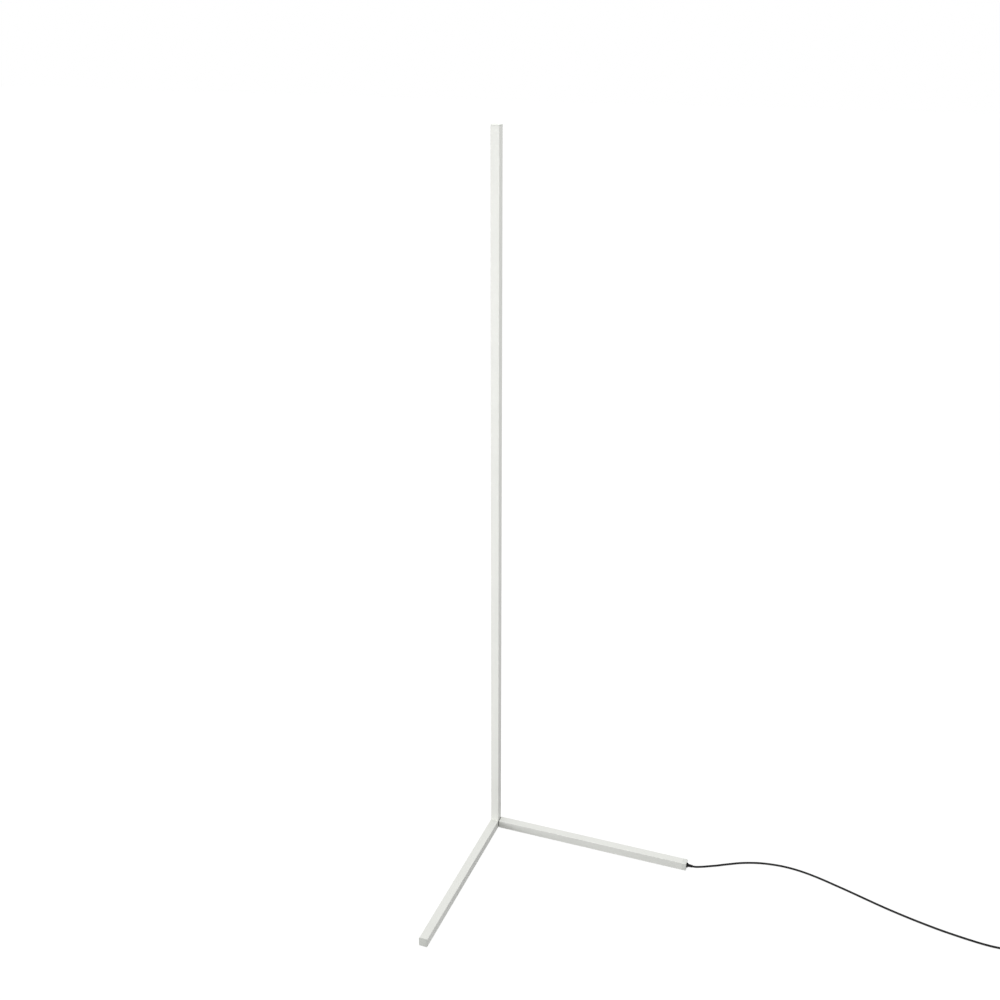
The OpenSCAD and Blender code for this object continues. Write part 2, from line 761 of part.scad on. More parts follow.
left_leg_tube();
right_leg_tube();
upright_profile();
light_cover();
light_board();
light_chips();
board_wires();
top_cap();
left_end_cap();
outlet_cap();
corner_block();
leg_insert();
joint_spacer();
joint_screws();
block_rivets();
floor_pads();
strain_relief();
inner_lead();
crimp_ring();
lead_run();
lead_link();
lead_coil();
lead_tail();
coil_tie();
switch_base();
switch_cover();
switch_button();
switch_board();
switch_screws();
adapter_back();
adapter_front();
adapter_pins();
adapter_board();
adapter_relief();
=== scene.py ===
import logging
import math
from collections.abc import Iterable, Sequence
from dataclasses import dataclass, field, replace
from enum import Enum
from functools import cache

import bmesh
import bpy
from mathutils import Matrix, Vector


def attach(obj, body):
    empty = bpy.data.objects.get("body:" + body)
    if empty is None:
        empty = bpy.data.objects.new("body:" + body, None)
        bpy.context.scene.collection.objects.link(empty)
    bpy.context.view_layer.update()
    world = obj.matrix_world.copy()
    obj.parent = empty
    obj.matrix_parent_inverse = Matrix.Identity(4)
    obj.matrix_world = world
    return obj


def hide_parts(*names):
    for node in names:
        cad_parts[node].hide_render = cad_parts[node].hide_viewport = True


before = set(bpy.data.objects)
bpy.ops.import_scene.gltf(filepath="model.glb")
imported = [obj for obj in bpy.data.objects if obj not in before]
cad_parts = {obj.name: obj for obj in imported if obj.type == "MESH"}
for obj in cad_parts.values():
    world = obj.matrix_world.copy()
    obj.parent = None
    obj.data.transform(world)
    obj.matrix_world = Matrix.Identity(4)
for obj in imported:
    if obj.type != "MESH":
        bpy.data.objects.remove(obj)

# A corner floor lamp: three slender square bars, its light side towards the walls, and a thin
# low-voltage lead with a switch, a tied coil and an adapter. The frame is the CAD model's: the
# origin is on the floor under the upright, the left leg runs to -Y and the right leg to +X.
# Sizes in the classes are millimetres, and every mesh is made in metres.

LOG = logging.getLogger("corner_lamp")
MM = 0.001
QUARTER = math.pi / 2
STAND, BUTTON = "stand", "button"  # the CAD model's bodies
CHIP_FIRST, CHIP_PITCH = 39.25, 16.5  # height of the lowest light chip, and the chips' spacing
SHARP = math.radians(32)  # an edge past this angle is shaded as an edge

Point = Sequence[float]
Pairs = Iterable[tuple[float, float]]
Spot = tuple[Point, Point]  # a place and a turn, in millimetres and degrees
Ring = list[Vector]
Screen = tuple[int, int, int]  # a colour as read from a screen, 0 to 255 each
Colour = tuple[float, float, float, float]  # a colour as a shader takes it
Feeds = dict[str | int, object]
Node, Socket = bpy.types.Node, bpy.types.NodeSocket
Object, Material = bpy.types.Object, bpy.types.Material


def linear(screen: Screen, share: float = 1.0) -> Colour:
    """Turns a screen's colour into a shader's.

    Args:
        screen: the screen's colour.
        share: how much darker or lighter it gets.

    Returns:
        The shader's colour.
    """
    shown = (s / 255 for s in screen)
    parts = (c / 12.92 if c <= 0.04045 else ((c + 0.055) / 1.055) ** 2.4 for c in shown)
    return (*(min(1.0, part * share) for part in parts), 1.0)


# ---------------------------------------------------------------- nodes


class Nodes:
    """A node tree while it is being laid out."""

    def __init__(self, tree: bpy.types.NodeTree) -> None:
        """Starts with an empty tree."""
        self.tree = tree
        tree.nodes.clear()

    def feed(self, value: object, target: Socket) -> None:
        """Fills an input.

        Args:
            value: the socket to link to it, or its plain value.
            target: the input.
        """
        if isinstance(value, Socket):
            self.tree.links.new(value, target)
        else:
            target.default_value = value

    def add(self, kind: str, feeds: Feeds | None = None, **settings: object) -> Node:
        """Adds a node.

        Args:
            kind: its type.
            feeds: what goes into its inputs, by name or number.
            settings: its own settings.

        Returns:
            The node.
        """
        node = self.tree.nodes.new(kind)
        for label, value in settings.items():
            setattr(node, label, value)
        for label, value in (feeds or {}).items():
            self.feed(value, node.inputs[label])
        return node

    def out(self, kind: str, feeds: Feeds | None = None, **settings: object) -> Socket:
        """Adds a node, and returns its first output."""
        return self.add(kind, feeds, **settings).outputs[0]

    def spread(self, value: Socket, *ends: float) -> Socket:
        """The value, moved smoothly from the first two ends to the last two (0 and 1), and held there."""
        feeds = dict(enumerate((value, *ends)))
        return self.out("ShaderNodeMapRange", feeds, interpolation_type="SMOOTHSTEP")


class Recipe(Nodes):
    """One procedural material while its nodes are being laid out."""

    def __init__(self, name: str) -> None:
        """Starts a material with a Principled shader.

        Args:
            name: the material's name.
        """
        self.material = bpy.data.materials.new(name)
        self.material.use_nodes = True
        super().__init__(self.material.node_tree)
        self.shader = self.add("ShaderNodeBsdfPrincipled")
        self.add("ShaderNodeOutputMaterial", {"Surface": self.shader.outputs["BSDF"]})

    def place(self, stretch: Point = (1, 1, 1), turn: float = 0.0) -> Socket:
        """The point on the object, in metres, turned about Z in degrees and then scaled."""
        feeds = {0: self.add("ShaderNodeTexCoord").outputs["Object"], "Scale": stretch}
        return self.out("ShaderNodeMapping", {**feeds, "Rotation": (0, 0, math.radians(turn))})

    def axis(self, letter: str, turn: float = 0.0) -> Socket:
        """One coordinate of the point on the object, in metres, after a turn about Z in degrees."""
        return self.add("ShaderNodeSeparateXYZ", {0: self.place(turn=turn)}).outputs[letter]

    def noise(self, size: float, detail: float = 2.0, stretch: Point = (1, 1, 1)) -> Socket:
        """Smooth noise, 0 to 1, whose lumps are about size millimetres."""
        feeds = {"Vector": self.place(stretch), "Scale": 1 / (size * MM), "Detail": detail}
        return self.out("ShaderNodeTexNoise", feeds)

    def cloud(self, size: float, detail: float, *ends: float, stretch: Point = (1, 1, 1)) -> Socket:
        """Noise between the ends that spread takes."""
        return self.spread(self.noise(size, detail, stretch), *ends)

    def cells(self, size: float) -> Socket:
        """Distance to the nearest of scattered points, spaced about size millimetres."""
        return self.out("ShaderNodeTexVoronoi", {"Vector": self.place(), "Scale": 1 / (size * MM)})

    def sums(self, operation: str, *values: Socket | float) -> Socket:
        """The result of one sum, such as ADD or GREATER_THAN."""
        return self.out("ShaderNodeMath", dict(enumerate(values)), operation=operation)

    def blend(self, share: Socket, first: Socket | Colour, second: Socket | Colour) -> Socket:
        """A colour between two, by share."""
        return self.add("ShaderNodeMix", {0: share, 6: first, 7: second}, data_type="RGBA").outputs[2]

    def relief(self, height: Socket, depth: float) -> None:
        """Bumps the surface, over what bumps it already.

        Args:
            height: the height of each point, 0 to 1.
            depth: the bumps' depth in millimetres.
        """
        normal = self.shader.inputs["Normal"]
        feeds = {"Height": height, "Strength": 1.0, "Distance": depth * MM}
        if normal.is_linked:
            feeds["Normal"] = normal.links[0].from_socket
        self.feed(self.out("ShaderNodeBump", feeds), normal)

    def surface(self, colour: Socket, rough: Socket, **fixed: float) -> None:
        """Sets the shader's colour, roughness, and own sockets, named with _ for a space."""
        for label, value in {"Base_Color": colour, "Roughness": rough, **fixed}.items():
            self.feed(value, self.shader.inputs[label.replace("_", " ")])


# ---------------------------------------------------------------- finishes


@dataclass(frozen=True)
class Finish:
    """A finish of the lamp, whose material is made once and shared by its pieces."""

    name: str
    colour: Screen  # its main colour

    def tint(self, share: float = 1.0) -> Colour:
        """The main colour, darker or lighter by a share of its brightness."""
        return linear(self.colour, share)

    @cache
    def make(self) -> Material:
        """Makes the material.

        Returns:
            The material, the same one each time.
        """
        recipe = Recipe(self.name)
        self.lay_out(recipe)
        return recipe.material

    def lay_out(self, m: Recipe) -> None:
        """Adds the finish's own nodes to a recipe."""
        raise NotImplementedError


@dataclass(frozen=True)
class PowderPaint(Finish):
    """Powder paint: a fine orange peel, a faint drift of tone, and a few hair scuffs."""

    grain: Point = (1, 1, 0.06)  # the way that the scuffs run, as how much each axis is stretched
    gloss: float = 0.44  # mean roughness
    peel: float = 1.1  # size of the peel's lumps

    def lay_out(self, m: Recipe) -> None:
        """Adds the finish's own nodes.

        Args:
            m: the recipe that gets them.
        """
        tone = m.blend(m.cloud(70, 1, 0.3, 0.7), self.tint(0.982), self.tint(1.008))
        tone = m.blend(m.cloud(0.8, 3, 0.66, 0.74, 0.0, 0.35), tone, self.tint(0.93))
        scuff = m.cloud(2.2, 4, 0.72, 0.78, 0.0, 0.5, stretch=self.grain)
        rough = m.cloud(3.5, 3, 0.25, 0.75, self.gloss - 0.05, self.gloss + 0.07)
        m.surface(m.blend(scuff, tone, self.tint(0.95)), rough, IOR=1.5)
        m.relief(m.noise(self.peel, 1.5), 0.022)
        m.relief(m.noise(0.25), 0.002)


@dataclass(frozen=True)
class MouldedPlastic(Finish):
    """Moulded plastic with the fine grain of a spark-eroded tool."""

    gloss: float = 0.5  # mean roughness
    grain: float = 0.35  # size of the grain
    depth: float = 0.012  # its depth
    shine: float = 0.5  # how strongly it mirrors, as the shader's specular level
    drift: float = 0.015  # how far its tone drifts to each side, as a share

    def lay_out(self, m: Recipe) -> None:
        """Adds the finish's own nodes.

        Args:
            m: the recipe that gets them.
        """
        flow = m.cloud(9, 2, 0.3, 0.7, stretch=(1, 0.4, 1))
        tone = m.blend(flow, self.tint(1 - self.drift), self.tint(1 + self.drift))
        dust = m.cloud(0.5, 4, 0.68, 0.8, 0.0, 0.25)
        rough = m.cloud(1.6, 3, 0.25, 0.75, self.gloss - 0.06, self.gloss + 0.08)
        tone = m.blend(dust, tone, self.tint(1 + 8 * self.drift))
        m.surface(tone, rough, IOR=1.49, Specular_IOR_Level=self.shine)
        m.relief(m.cells(self.grain), self.depth)


@dataclass(frozen=True)
class OpalCover(Finish):
    """Milky diffuser: the row of light chips behind it shows as faint warm spots along its corner."""

    corner: float = 8.0  # distance of the cover's corner from the upright's axis, along X and Y
    spot: Screen = (240, 233, 205)

    def lay_out(self, m: Recipe) -> None:
        """Adds the finish's own nodes.

        Args:
            m: the recipe that gets them.
        """
        height = m.sums("SUBTRACT", m.axis("Z"), CHIP_FIRST * MM)
        between = m.sums("PINGPONG", height, CHIP_PITCH * MM / 2)
        across = m.sums("SUBTRACT", m.axis("Y"), m.axis("X"))
        off_corner = m.sums("SUBTRACT", 2 * self.corner * MM, across)
        spot = m.sums("MULTIPLY", m.spread(between, 0.0, CHIP_PITCH * MM * 0.4, 0.26, 0.0),
                      m.spread(off_corner, 0.001, 0.0085, 1.0, 0.0))
        haze = m.blend(m.cloud(14, 2, 0.3, 0.7), self.tint(0.985), self.tint())
        rough = m.cloud(2.5, 3, 0.25, 0.75, 0.3, 0.4, stretch=(1, 1, 0.05))
        tone = m.blend(spot, haze, linear(self.spot))
        m.surface(tone, rough, IOR=1.49, Subsurface_Weight=0.12, Subsurface_Scale=0.003)
        m.relief(m.noise(1.2, 2, (1, 1, 0.04)), 0.006)


class Marks(Enum):
    """The way that a metal's tool marks run, as how much each axis is stretched."""

    ALONG_X = (0.03, 1, 1)
    ALONG_Y = (1, 0.03, 1)
    EVEN = (1, 1, 1)


@dataclass(frozen=True)
class WorkedMetal(Finish):
    """Bare or plated metal with fine tool marks and slightly dull patches."""

    gloss: float = 0.3  # mean roughness
    marks: Marks = Marks.EVEN
    size: float = 0.25  # width of the marks

    def lay_out(self, m: Recipe) -> None:
        """Adds the finish's own nodes.

        Args:
            m: the recipe that gets them.
        """
        lines = m.noise(self.size, 3, self.marks.value)
        patch = m.cloud(4, 2, 0.35, 0.7)
        tone = m.blend(patch, self.tint(0.88), self.tint())
        rough = m.sums("ADD", m.spread(lines, 0.2, 0.8, self.gloss - 0.08, self.gloss + 0.08),
                       m.spread(patch, 0.0, 1.0, 0.06, 0.0))
        tone = m.blend(m.spread(lines, 0.3, 0.7, 0.0, 0.3), tone, self.tint(0.8))
        m.surface(tone, rough, Metallic=1.0)
        m.relief(lines, 0.004)


@dataclass(frozen=True)
class SoftRubber(Finish):
    """Dull rubber with a pitted skin and a little pale dust."""

    def lay_out(self, m: Recipe) -> None:
        """Adds the finish's own nodes.

        Args:
            m: the recipe that gets them.
        """
        tone = m.blend(m.cloud(1.2, 4, 0.5, 0.8, 0.0, 0.35), self.tint(), self.tint(2.6))
        m.surface(tone, m.cloud(2, 3, 0.25, 0.75, 0.72, 0.88), IOR=1.5, Specular_IOR_Level=0.35)
        m.relief(m.cells(0.45), 0.02)


@dataclass(frozen=True)
class LeadJacket(Finish):
    """Extruded vinyl round the lead: faint draw lines along it, satin, with slightly duller stretches."""

    lines: int = 9  # number of draw lines round the lead

    def lay_out(self, m: Recipe) -> None:
        """Adds the finish's own nodes, which follow the tube's UV map: metres along, turns round.

        Args:
            m: the recipe that gets them.
        """
        uv = m.add("ShaderNodeSeparateXYZ", {0: m.out("ShaderNodeUVMap", uv_map="UVMap")}).outputs
        wave = m.sums("SINE", m.sums("MULTIPLY", uv["Y"], math.tau * self.lines))
        stretch = m.out("ShaderNodeTexNoise", {"W": uv["X"], "Scale": 22.0}, noise_dimensions="1D")
        dull = m.spread(stretch, 0.35, 0.65)
        dust = m.cloud(0.7, 4, 0.64, 0.8, 0.0, 0.3)
        tone = m.blend(dust, m.blend(dull, self.tint(0.85), self.tint(1.25)), self.tint(2.6))
        rough = m.sums("ADD", m.spread(dull, 0.0, 1.0, 0.34, 0.44), m.spread(dust, 0.0, 0.3, 0.0, 0.2))
        m.surface(tone, rough, IOR=1.53, Specular_IOR_Level=0.15)
        m.relief(wave, 0.01)
        m.relief(m.noise(0.5, 3), 0.012)


@dataclass(frozen=True)
class WireCover(Finish):
    """Silicone round one wire, with a faint bloom."""

    def lay_out(self, m: Recipe) -> None:
        """Adds the finish's own nodes.

        Args:
            m: the recipe that gets them.
        """
        bloom = m.cloud(2.5, 3, 0.35, 0.75, 0.0, 0.4)
        tone = m.blend(bloom, self.tint(), self.tint(1.35))
        m.surface(tone, m.spread(bloom, 0.0, 0.4, 0.4, 0.55), IOR=1.43)
        m.relief(m.noise(0.4), 0.008)


@dataclass(frozen=True)
class StripBoard(Finish):
    """White solder mask with two raised tracks, tinned pads at each chip, and a cut mark every third."""

    turn: float = -135.0  # turn of the board's width to the X axis, in degrees
    pale: Screen = (236, 237, 233)  # the mask where it is thinner
    track: Screen = (214, 216, 206)  # the mask over a track
    tin: Screen = (196, 192, 180)
    ink: Screen = (70, 72, 74)

    def lay_out(self, m: Recipe) -> None:
        """Adds the finish's own nodes.

        Args:
            m: the recipe that gets them.
        """
        half = CHIP_PITCH * MM / 2
        across = m.sums("ABSOLUTE", m.axis("Y", self.turn))
        height = m.sums("SUBTRACT", m.axis("Z"), CHIP_FIRST * MM)
        near = m.sums("PINGPONG", height, half)
        third = m.sums("PINGPONG", m.sums("ADD", height, half), 3 * half)
        track = m.sums("MULTIPLY", m.spread(across, 0.0022, 0.0023),
                       m.spread(across, 0.0033, 0.0034, 1.0, 0.0))
        pad = m.sums("MULTIPLY", m.spread(near, 0.0026, 0.0027, 1.0, 0.0),
                     m.spread(across, 0.0016, 0.0017, 1.0, 0.0))
        tone = m.blend(m.cloud(6, 2, 0.3, 0.7), self.tint(), linear(self.pale))
        tone = m.blend(pad, m.blend(track, tone, linear(self.track)), linear(self.tin))
        tone = m.blend(m.spread(third, 0.0002, 0.0003, 0.7, 0.0), tone, linear(self.ink))
        m.surface(tone, m.spread(pad, 0.0, 1.0, 0.42, 0.25), IOR=1.55)
        m.relief(track, 0.035)
        m.relief(m.noise(0.6), 0.004)


@dataclass(frozen=True)
class ChipLens(Finish):
    """Yellow light-making resin in a chip's window, with fine grains in it."""

    def lay_out(self, m: Recipe) -> None:
        """Adds the finish's own nodes.

        Args:
            m: the recipe that gets them.
        """
        grain = m.cloud(0.12, 3, 0.35, 0.7)
        tone = m.blend(grain, self.tint(0.86), self.tint())
        m.surface(tone, m.spread(grain, 0.0, 1.0, 0.18, 0.3), IOR=1.45)
        m.relief(m.noise(0.2), 0.004)


@dataclass(frozen=True)
class PartedBoard(Finish):
    """A circuit board below a height, and dark moulded components above it."""

    parting: float  # height above which the components begin
    bright: Screen = (34, 112, 72)  # the board over its tracks
    parts: tuple[Screen, Screen] = ((38, 40, 44), (54, 56, 60))  # the components' two tones

    def lay_out(self, m: Recipe) -> None:
        """Adds the finish's own nodes.

        Args:
            m: the recipe that gets them.
        """
        tracks = m.sums("GREATER_THAN", m.cells(2.4), 0.42)
        board = m.blend(tracks, self.tint(), linear(self.bright))
        block = m.blend(m.cloud(3, 2, 0.4, 0.6), *map(linear, self.parts))
        high = m.sums("GREATER_THAN", m.axis("Z"), self.parting * MM)
        m.surface(m.blend(high, board, block), m.cloud(2, 3, 0.3, 0.7, 0.32, 0.5), IOR=1.5)
        m.relief(tracks, 0.02)


OFF_WHITE, BOARD_GREEN = (236, 237, 232), (24, 92, 58)
LEG_PAINT = PowderPaint("leg_powder_paint", OFF_WHITE, (1, 1, 1))
PROFILE_PAINT = PowderPaint("profile_powder_paint", OFF_WHITE)
# The left end cap's plastic is a darker copy of the caps' plastic: its tone is painted shade on the end face
# that faces forward near the floor.
END_PLASTIC_PAINTED_SHADE = MouldedPlastic("pale_grey_end_plastic", (192, 194, 189), 0.55, 0.5, 0.008)
OUTLET_PLASTIC = MouldedPlastic("off_white_outlet_plastic", (226, 228, 223), 0.5, 0.5, 0.008)
TOP_PLASTIC = MouldedPlastic("off_white_top_plastic", (234, 236, 230), 0.46, 0.5, 0.008)
OPAL = OpalCover("opal_cover", (243, 244, 240))
STRIP_BOARD = StripBoard("strip_board", (226, 228, 224))
CHIP_BODY = MouldedPlastic("chip_body_plastic", (232, 231, 224), 0.4, 0.3, 0.004)
CHIP_LENS = ChipLens("chip_resin", (228, 196, 74))
RED_WIRE = WireCover("red_wire_cover", (160, 34, 30))
GREY_WIRE = WireCover("grey_wire_cover", (92, 94, 98))
BLOCK_METAL = WorkedMetal("milled_aluminium", (196, 198, 200), 0.34, Marks.ALONG_X)
SCREW_STEEL = WorkedMetal("zinc_plated_steel", (176, 178, 180), 0.3)
RIVET_METAL = WorkedMetal("rivet_aluminium", (190, 192, 194), 0.36)
CRIMP_METAL = WorkedMetal("tinned_crimp", (188, 184, 176), 0.32)
PIN_METAL = WorkedMetal("nickel_plated_pin", (200, 196, 186), 0.2, Marks.ALONG_Y, 0.15)
SOLDER = WorkedMetal("solder", (200, 202, 205), 0.22)
SPACER_RUBBER = SoftRubber("spacer_rubber", (26, 26, 27))
PAD_RUBBER = SoftRubber("pad_rubber", (58, 58, 60))
RELIEF_VINYL = MouldedPlastic("relief_vinyl", (14, 14, 15), 0.6, 0.5, 0.01, 0.15, 0.08)
LEAD_JACKET = LeadJacket("lead_jacket_vinyl", (14, 14, 15))
TIE_STRAP = MouldedPlastic("tie_strap", (40, 40, 42), 0.62, 0.6, 0.03, drift=0.1)
CASE_PLASTIC = MouldedPlastic("case_plastic", (24, 24, 26), 0.52, shine=0.3, drift=0.06)
BUTTON_PLASTIC = MouldedPlastic("button_plastic", (74, 75, 79), 0.4, 0.3, 0.006)
ADAPTER_BOARD = PartedBoard("adapter_electronics", BOARD_GREEN, 5.7)
SWITCH_BOARD = PartedBoard("switch_electronics", BOARD_GREEN, 2.7)


# ---------------------------------------------------------------- rings and routes


def circle(radius: float, at: float, count: int = 48) -> Ring:
    """A round ring in the XY plane at height at."""
    step = math.tau / count
    return [Vector((radius * math.cos(k * step), radius * math.sin(k * step), at)) for k in range(count)]


def hexagon(across: float, at: float, count: int = 48) -> Ring:
    """A ring whose points lie on a hexagon at even bearings, such as the wall of a screw's socket.

    Args:
        across: distance between two opposite flats.
        at: height of the ring.
        count: number of points, a multiple of 6.

    Returns:
        The points.
    """
    sixth, ring = math.tau / 6, []
    for bearing in (k * math.tau / count for k in range(count)):
        reach = across / 2 / math.cos((bearing + sixth / 2) % sixth - sixth / 2)
        ring.append(Vector((reach * math.cos(bearing), reach * math.sin(bearing), at)))
    return ring


def round_box(width: float, height: float, corner: float, at: float, arc: int) -> Ring:
    """A ring in the shape of a rectangle with round corners, in the XY plane.

    Args:
        width, height: its size along X and Y.
        corner: radius of the corners.
        at: height of the ring.
        arc: number of steps round each corner.

    Returns:
        The points, counter-clockwise from the lower right corner.
    """
    least, ring = 1e-4, []
    corner = max(least, min(corner, width / 2 - least, height / 2 - least))
    for turn, (sx, sy) in enumerate(((1, -1), (1, 1), (-1, 1), (-1, -1))):
        x, y = sx * (width / 2 - corner), sy * (height / 2 - corner)
        for k in range(arc + 1):
            bearing = (turn - 1) * QUARTER + k * QUARTER / arc
            ring.append(Vector((x + corner * math.cos(bearing), y + corner * math.sin(bearing), at)))
    return ring


def box_levels(
    width: float, height: float, corner: float, arc: int, levels: Pairs, fall: float = 0.0
) -> list[Ring]:
    """A round box for each (inset, height), whose corners' radius falls by a share of the inset."""
    return [round_box(width - 2 * i, height - 2 * i, corner - fall * i, at, arc) for i, at in levels]


def long_oval(length: float, width: float, at: float, count: int = 120) -> Ring:
    """A ring in the shape of a bar with round ends, with its points at even bearings.

    Args:
        length, width: its size along X and Y.
        at: height of the ring.
        count: number of points.

    Returns:
        The points, counter-clockwise from +X.
    """
    straight, radius, ring = (length - width) / 2, width / 2, []
    for bearing in (k * math.tau / count for k in range(count)):
        c, s = math.cos(bearing), math.sin(bearing)
        reach = radius / abs(s) if abs(s) > 1e-9 else math.inf
        if reach * abs(c) > straight:
            near = straight * abs(c)
            reach = near + math.sqrt(max(0.0, near**2 - straight**2 + radius**2))
        ring.append(Vector((reach * c, reach * s, at)))
    return ring


def soft_foot(soft: float, steps: int) -> Pairs:
    """The insets and heights of rings up a rounded lower edge of radius soft, from height 0."""
    bearings = (k * QUARTER / steps for k in range(steps + 1))
    return [(soft * (1 - math.sin(a)), soft * (1 - math.cos(a))) for a in bearings]


def soft_top(soft: float, top: float, steps: int) -> Pairs:
    """The insets and heights of rings up a rounded upper edge of radius soft, to height top."""
    bearings = (k * QUARTER / steps for k in range(steps + 1))
    return [(soft * (1 - math.cos(a)), top - soft + soft * math.sin(a)) for a in bearings]


def grooves(starts: Pairs, cut: Pairs) -> Pairs:
    """The outline of the same cut, (place, fall of the radius), from each start, (place, radius)."""
    return [(at + along_it, radius - fall) for at, radius in starts for along_it, fall in cut]


def smooth_route(points: Sequence[Point], steps: int) -> list[Vector]:
    """A Catmull-Rom curve through the points.

    Args:
        points: the points that the curve passes through.
        steps: number of stretches between two of them.

    Returns:
        The curve's points, the given ones among them.
    """
    p, route = [Vector(q) for q in points], []
    for i in range(len(p) - 1):
        a, b, c, d = p[max(i - 1, 0)], p[i], p[i + 1], p[min(i + 2, len(p) - 1)]
        for t in (k / steps for k in range(steps)):
            second, third = (2 * a - 5 * b + 4 * c - d) * t**2, (3 * b - a - 3 * c + d) * t**3
            route.append(0.5 * (2 * b + (c - a) * t + second + third))
    return [*route, p[-1]]


# ---------------------------------------------------------------- forms


def in_scene(name: str, data: bpy.types.ID) -> Object:
    """A new object in the scene, at the origin.

    Args:
        name: its name.
        data: its mesh, light or camera.

    Returns:
        The object.
    """
    thing = bpy.data.objects.new(name, data)
    bpy.context.scene.collection.objects.link(thing)
    return thing


def finished(mesh: bpy.types.Mesh, name: str, finish: Finish | None) -> Object:
    """Merges doubles, turns faces outwards, shades smooth and puts the mesh in the scene.

    Args:
        mesh: the mesh, in metres.
        name: name of its object.
        finish: its finish, if it gets one.

    Returns:
        The object.
    """
    work = bmesh.new()
    work.from_mesh(mesh)
    bmesh.ops.remove_doubles(work, verts=work.verts, dist=2e-7)
    bmesh.ops.dissolve_degenerate(work, edges=work.edges, dist=1e-8)
    bmesh.ops.recalc_face_normals(work, faces=work.faces)
    work.to_mesh(mesh)
    work.free()
    mesh.polygons.foreach_set("use_smooth", [True] * len(mesh.polygons))
    mesh.set_sharp_from_angle(angle=SHARP)
    if finish:
        mesh.materials.clear()
        mesh.materials.append(finish.make())
    return in_scene(name, mesh)


@dataclass
class Shape:
    """One mesh while it is being made, in millimetres."""

    points: list[Vector]
    faces: list[tuple[int, ...]] = field(default_factory=list)
    corners: list[list[tuple[float, float]]] = field(default_factory=list)  # each face's, on the UV map

    def placed(self, where: Matrix) -> "Shape":
        """Moves every point."""
        self.points = [where @ p for p in self.points]
        return self

    def pointing(self, axis: Point, *at: float) -> "Shape":
        """Turns its +Z to point along the axis, and moves its origin to a place."""
        turn = Vector(axis).to_track_quat("Z", "Y").to_matrix().to_4x4()
        return self.placed(Matrix.Translation(Vector(at)) @ turn)

    def piece(self, name: str, finish: Finish | None = None) -> Object:
        """Makes the mesh and its object, in metres.

        Args:
            name: the object's name.
            finish: the finish of the whole piece.

        Returns:
            The object, in the scene and at the origin.
        """
        mesh = bpy.data.meshes.new(name)
        mesh.from_pydata([p * MM for p in self.points], [], self.faces)
        if self.corners:
            uv = mesh.uv_layers.new(name="UVMap")
            for polygon, places in zip(mesh.polygons, self.corners):
                for corner, place in zip(polygon.loop_indices, places):
                    uv.data[corner].uv = place
        return finished(mesh, name, finish)


def skin(rings: Sequence[Ring], loop: bool = False) -> Shape:
    """Joins rings of the same number of points into one closed skin.

    Args:
        rings: the rings in order.
        loop: whether the last ring is joined to the first, as in a hollow shell, or else each
            end is closed by a fan of faces.

    Returns:
        The shape.
    """
    count, shape = len(rings[0]), Shape([p for ring in rings for p in ring])
    starts = [i * count for i in range(len(rings))]
    for a, b in zip(starts, starts[1:] + starts[:1] if loop else starts[1:]):
        for k in range(count):
            m = (k + 1) % count
            shape.faces.append((a + k, a + m, b + m, b + k))
    for start, ring, way in () if loop else ((0, rings[0], -1), (starts[-1], rings[-1], 1)):
        shape.points.append(sum(ring, Vector()) / count)
        for k in range(count):
            edge = (start + k, start + (k + 1) % count)[::way]
            shape.faces.append((*edge, len(shape.points) - 1))
    return shape


def turned(profile: Pairs, loop: bool = False, count: int = 48) -> Shape:
    """A turned form, from its outline as (place along the axis, radius), closed if loop."""
    return skin([circle(radius, at, count) for at, radius in profile], loop)


def swept(route: Sequence[Vector], radius: float, sides: int = 16) -> Shape:
    """A closed round tube along a route, with a UV map of metres along and turns round it.

    Args:
        route: the tube's middle line.
        radius: radius of the tube.
        sides: number of its flats.

    Returns:
        The tube's shape.
    """
    heading = (route[1] - route[0]).normalized()
    side = heading.orthogonal().normalized()
    bearings, rings, far = [k * math.tau / sides for k in range(sides)], [], []
    for i, place in enumerate(route):
        ahead = (route[min(i + 1, len(route) - 1)] - route[max(i - 1, 0)]).normalized()
        side = heading.rotation_difference(ahead) @ side
        side = (side - side.dot(ahead) * ahead).normalized()
        heading, up = ahead, ahead.cross(side)
        rings.append([place + radius * (math.cos(b) * side + math.sin(b) * up) for b in bearings])
        far.append(far[-1] + (place - route[i - 1]).length * MM if far else 0.0)
    shape = skin(rings)
    for number, face in enumerate(shape.faces):
        i, k = divmod(number, sides)
        if len(face) == 4:
            steps = ((i, k), (i, k + 1), (i + 1, k + 1), (i + 1, k))
            shape.corners.append([(far[a], b / sides) for a, b in steps])
        else:
            shape.corners.append([(far[0] if i < len(route) else far[-1], 0.5)] * 3)
    return shape


@dataclass(frozen=True)
class Softened:
    """A copy of a CAD node whose hard edges are rounded."""

    node: str
    radius: float  # how far the rounding reaches from each edge
    flat: float = 0.5  # faces within this angle become one, in degrees
    hard: float = 40.0  # an edge past this angle is rounded

    def piece(self, name: str, finish: Finish) -> Object:
        """Makes the copy.

        Args:
            name: its name.
            finish: its finish.

        Returns:
            The copy.
        """
        mesh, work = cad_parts[self.node].data.copy(), bmesh.new()
        work.from_mesh(mesh)
        bmesh.ops.remove_doubles(work, verts=work.verts, dist=2e-6)
        bmesh.ops.dissolve_limit(
            work, angle_limit=math.radians(self.flat), verts=work.verts, edges=work.edges)
        hard = math.radians(self.hard)
        edges = [e for e in work.edges if e.is_manifold and e.calc_face_angle(0.0) > hard]
        bmesh.ops.bevel(work, geom=edges, offset=self.radius * MM, offset_type="OFFSET", segments=3,
                        profile=0.5, affect="EDGES", clamp_overlap=False)
        bmesh.ops.triangulate(work, faces=[f for f in work.faces if len(f.verts) > 4])
        work.to_mesh(mesh)
        work.free()
        return finished(mesh, name, finish)


class Layout(Enum):
    """How the copies of a unit are laid out."""

    ROW = "row"
    AT_POINTS = "at_points"


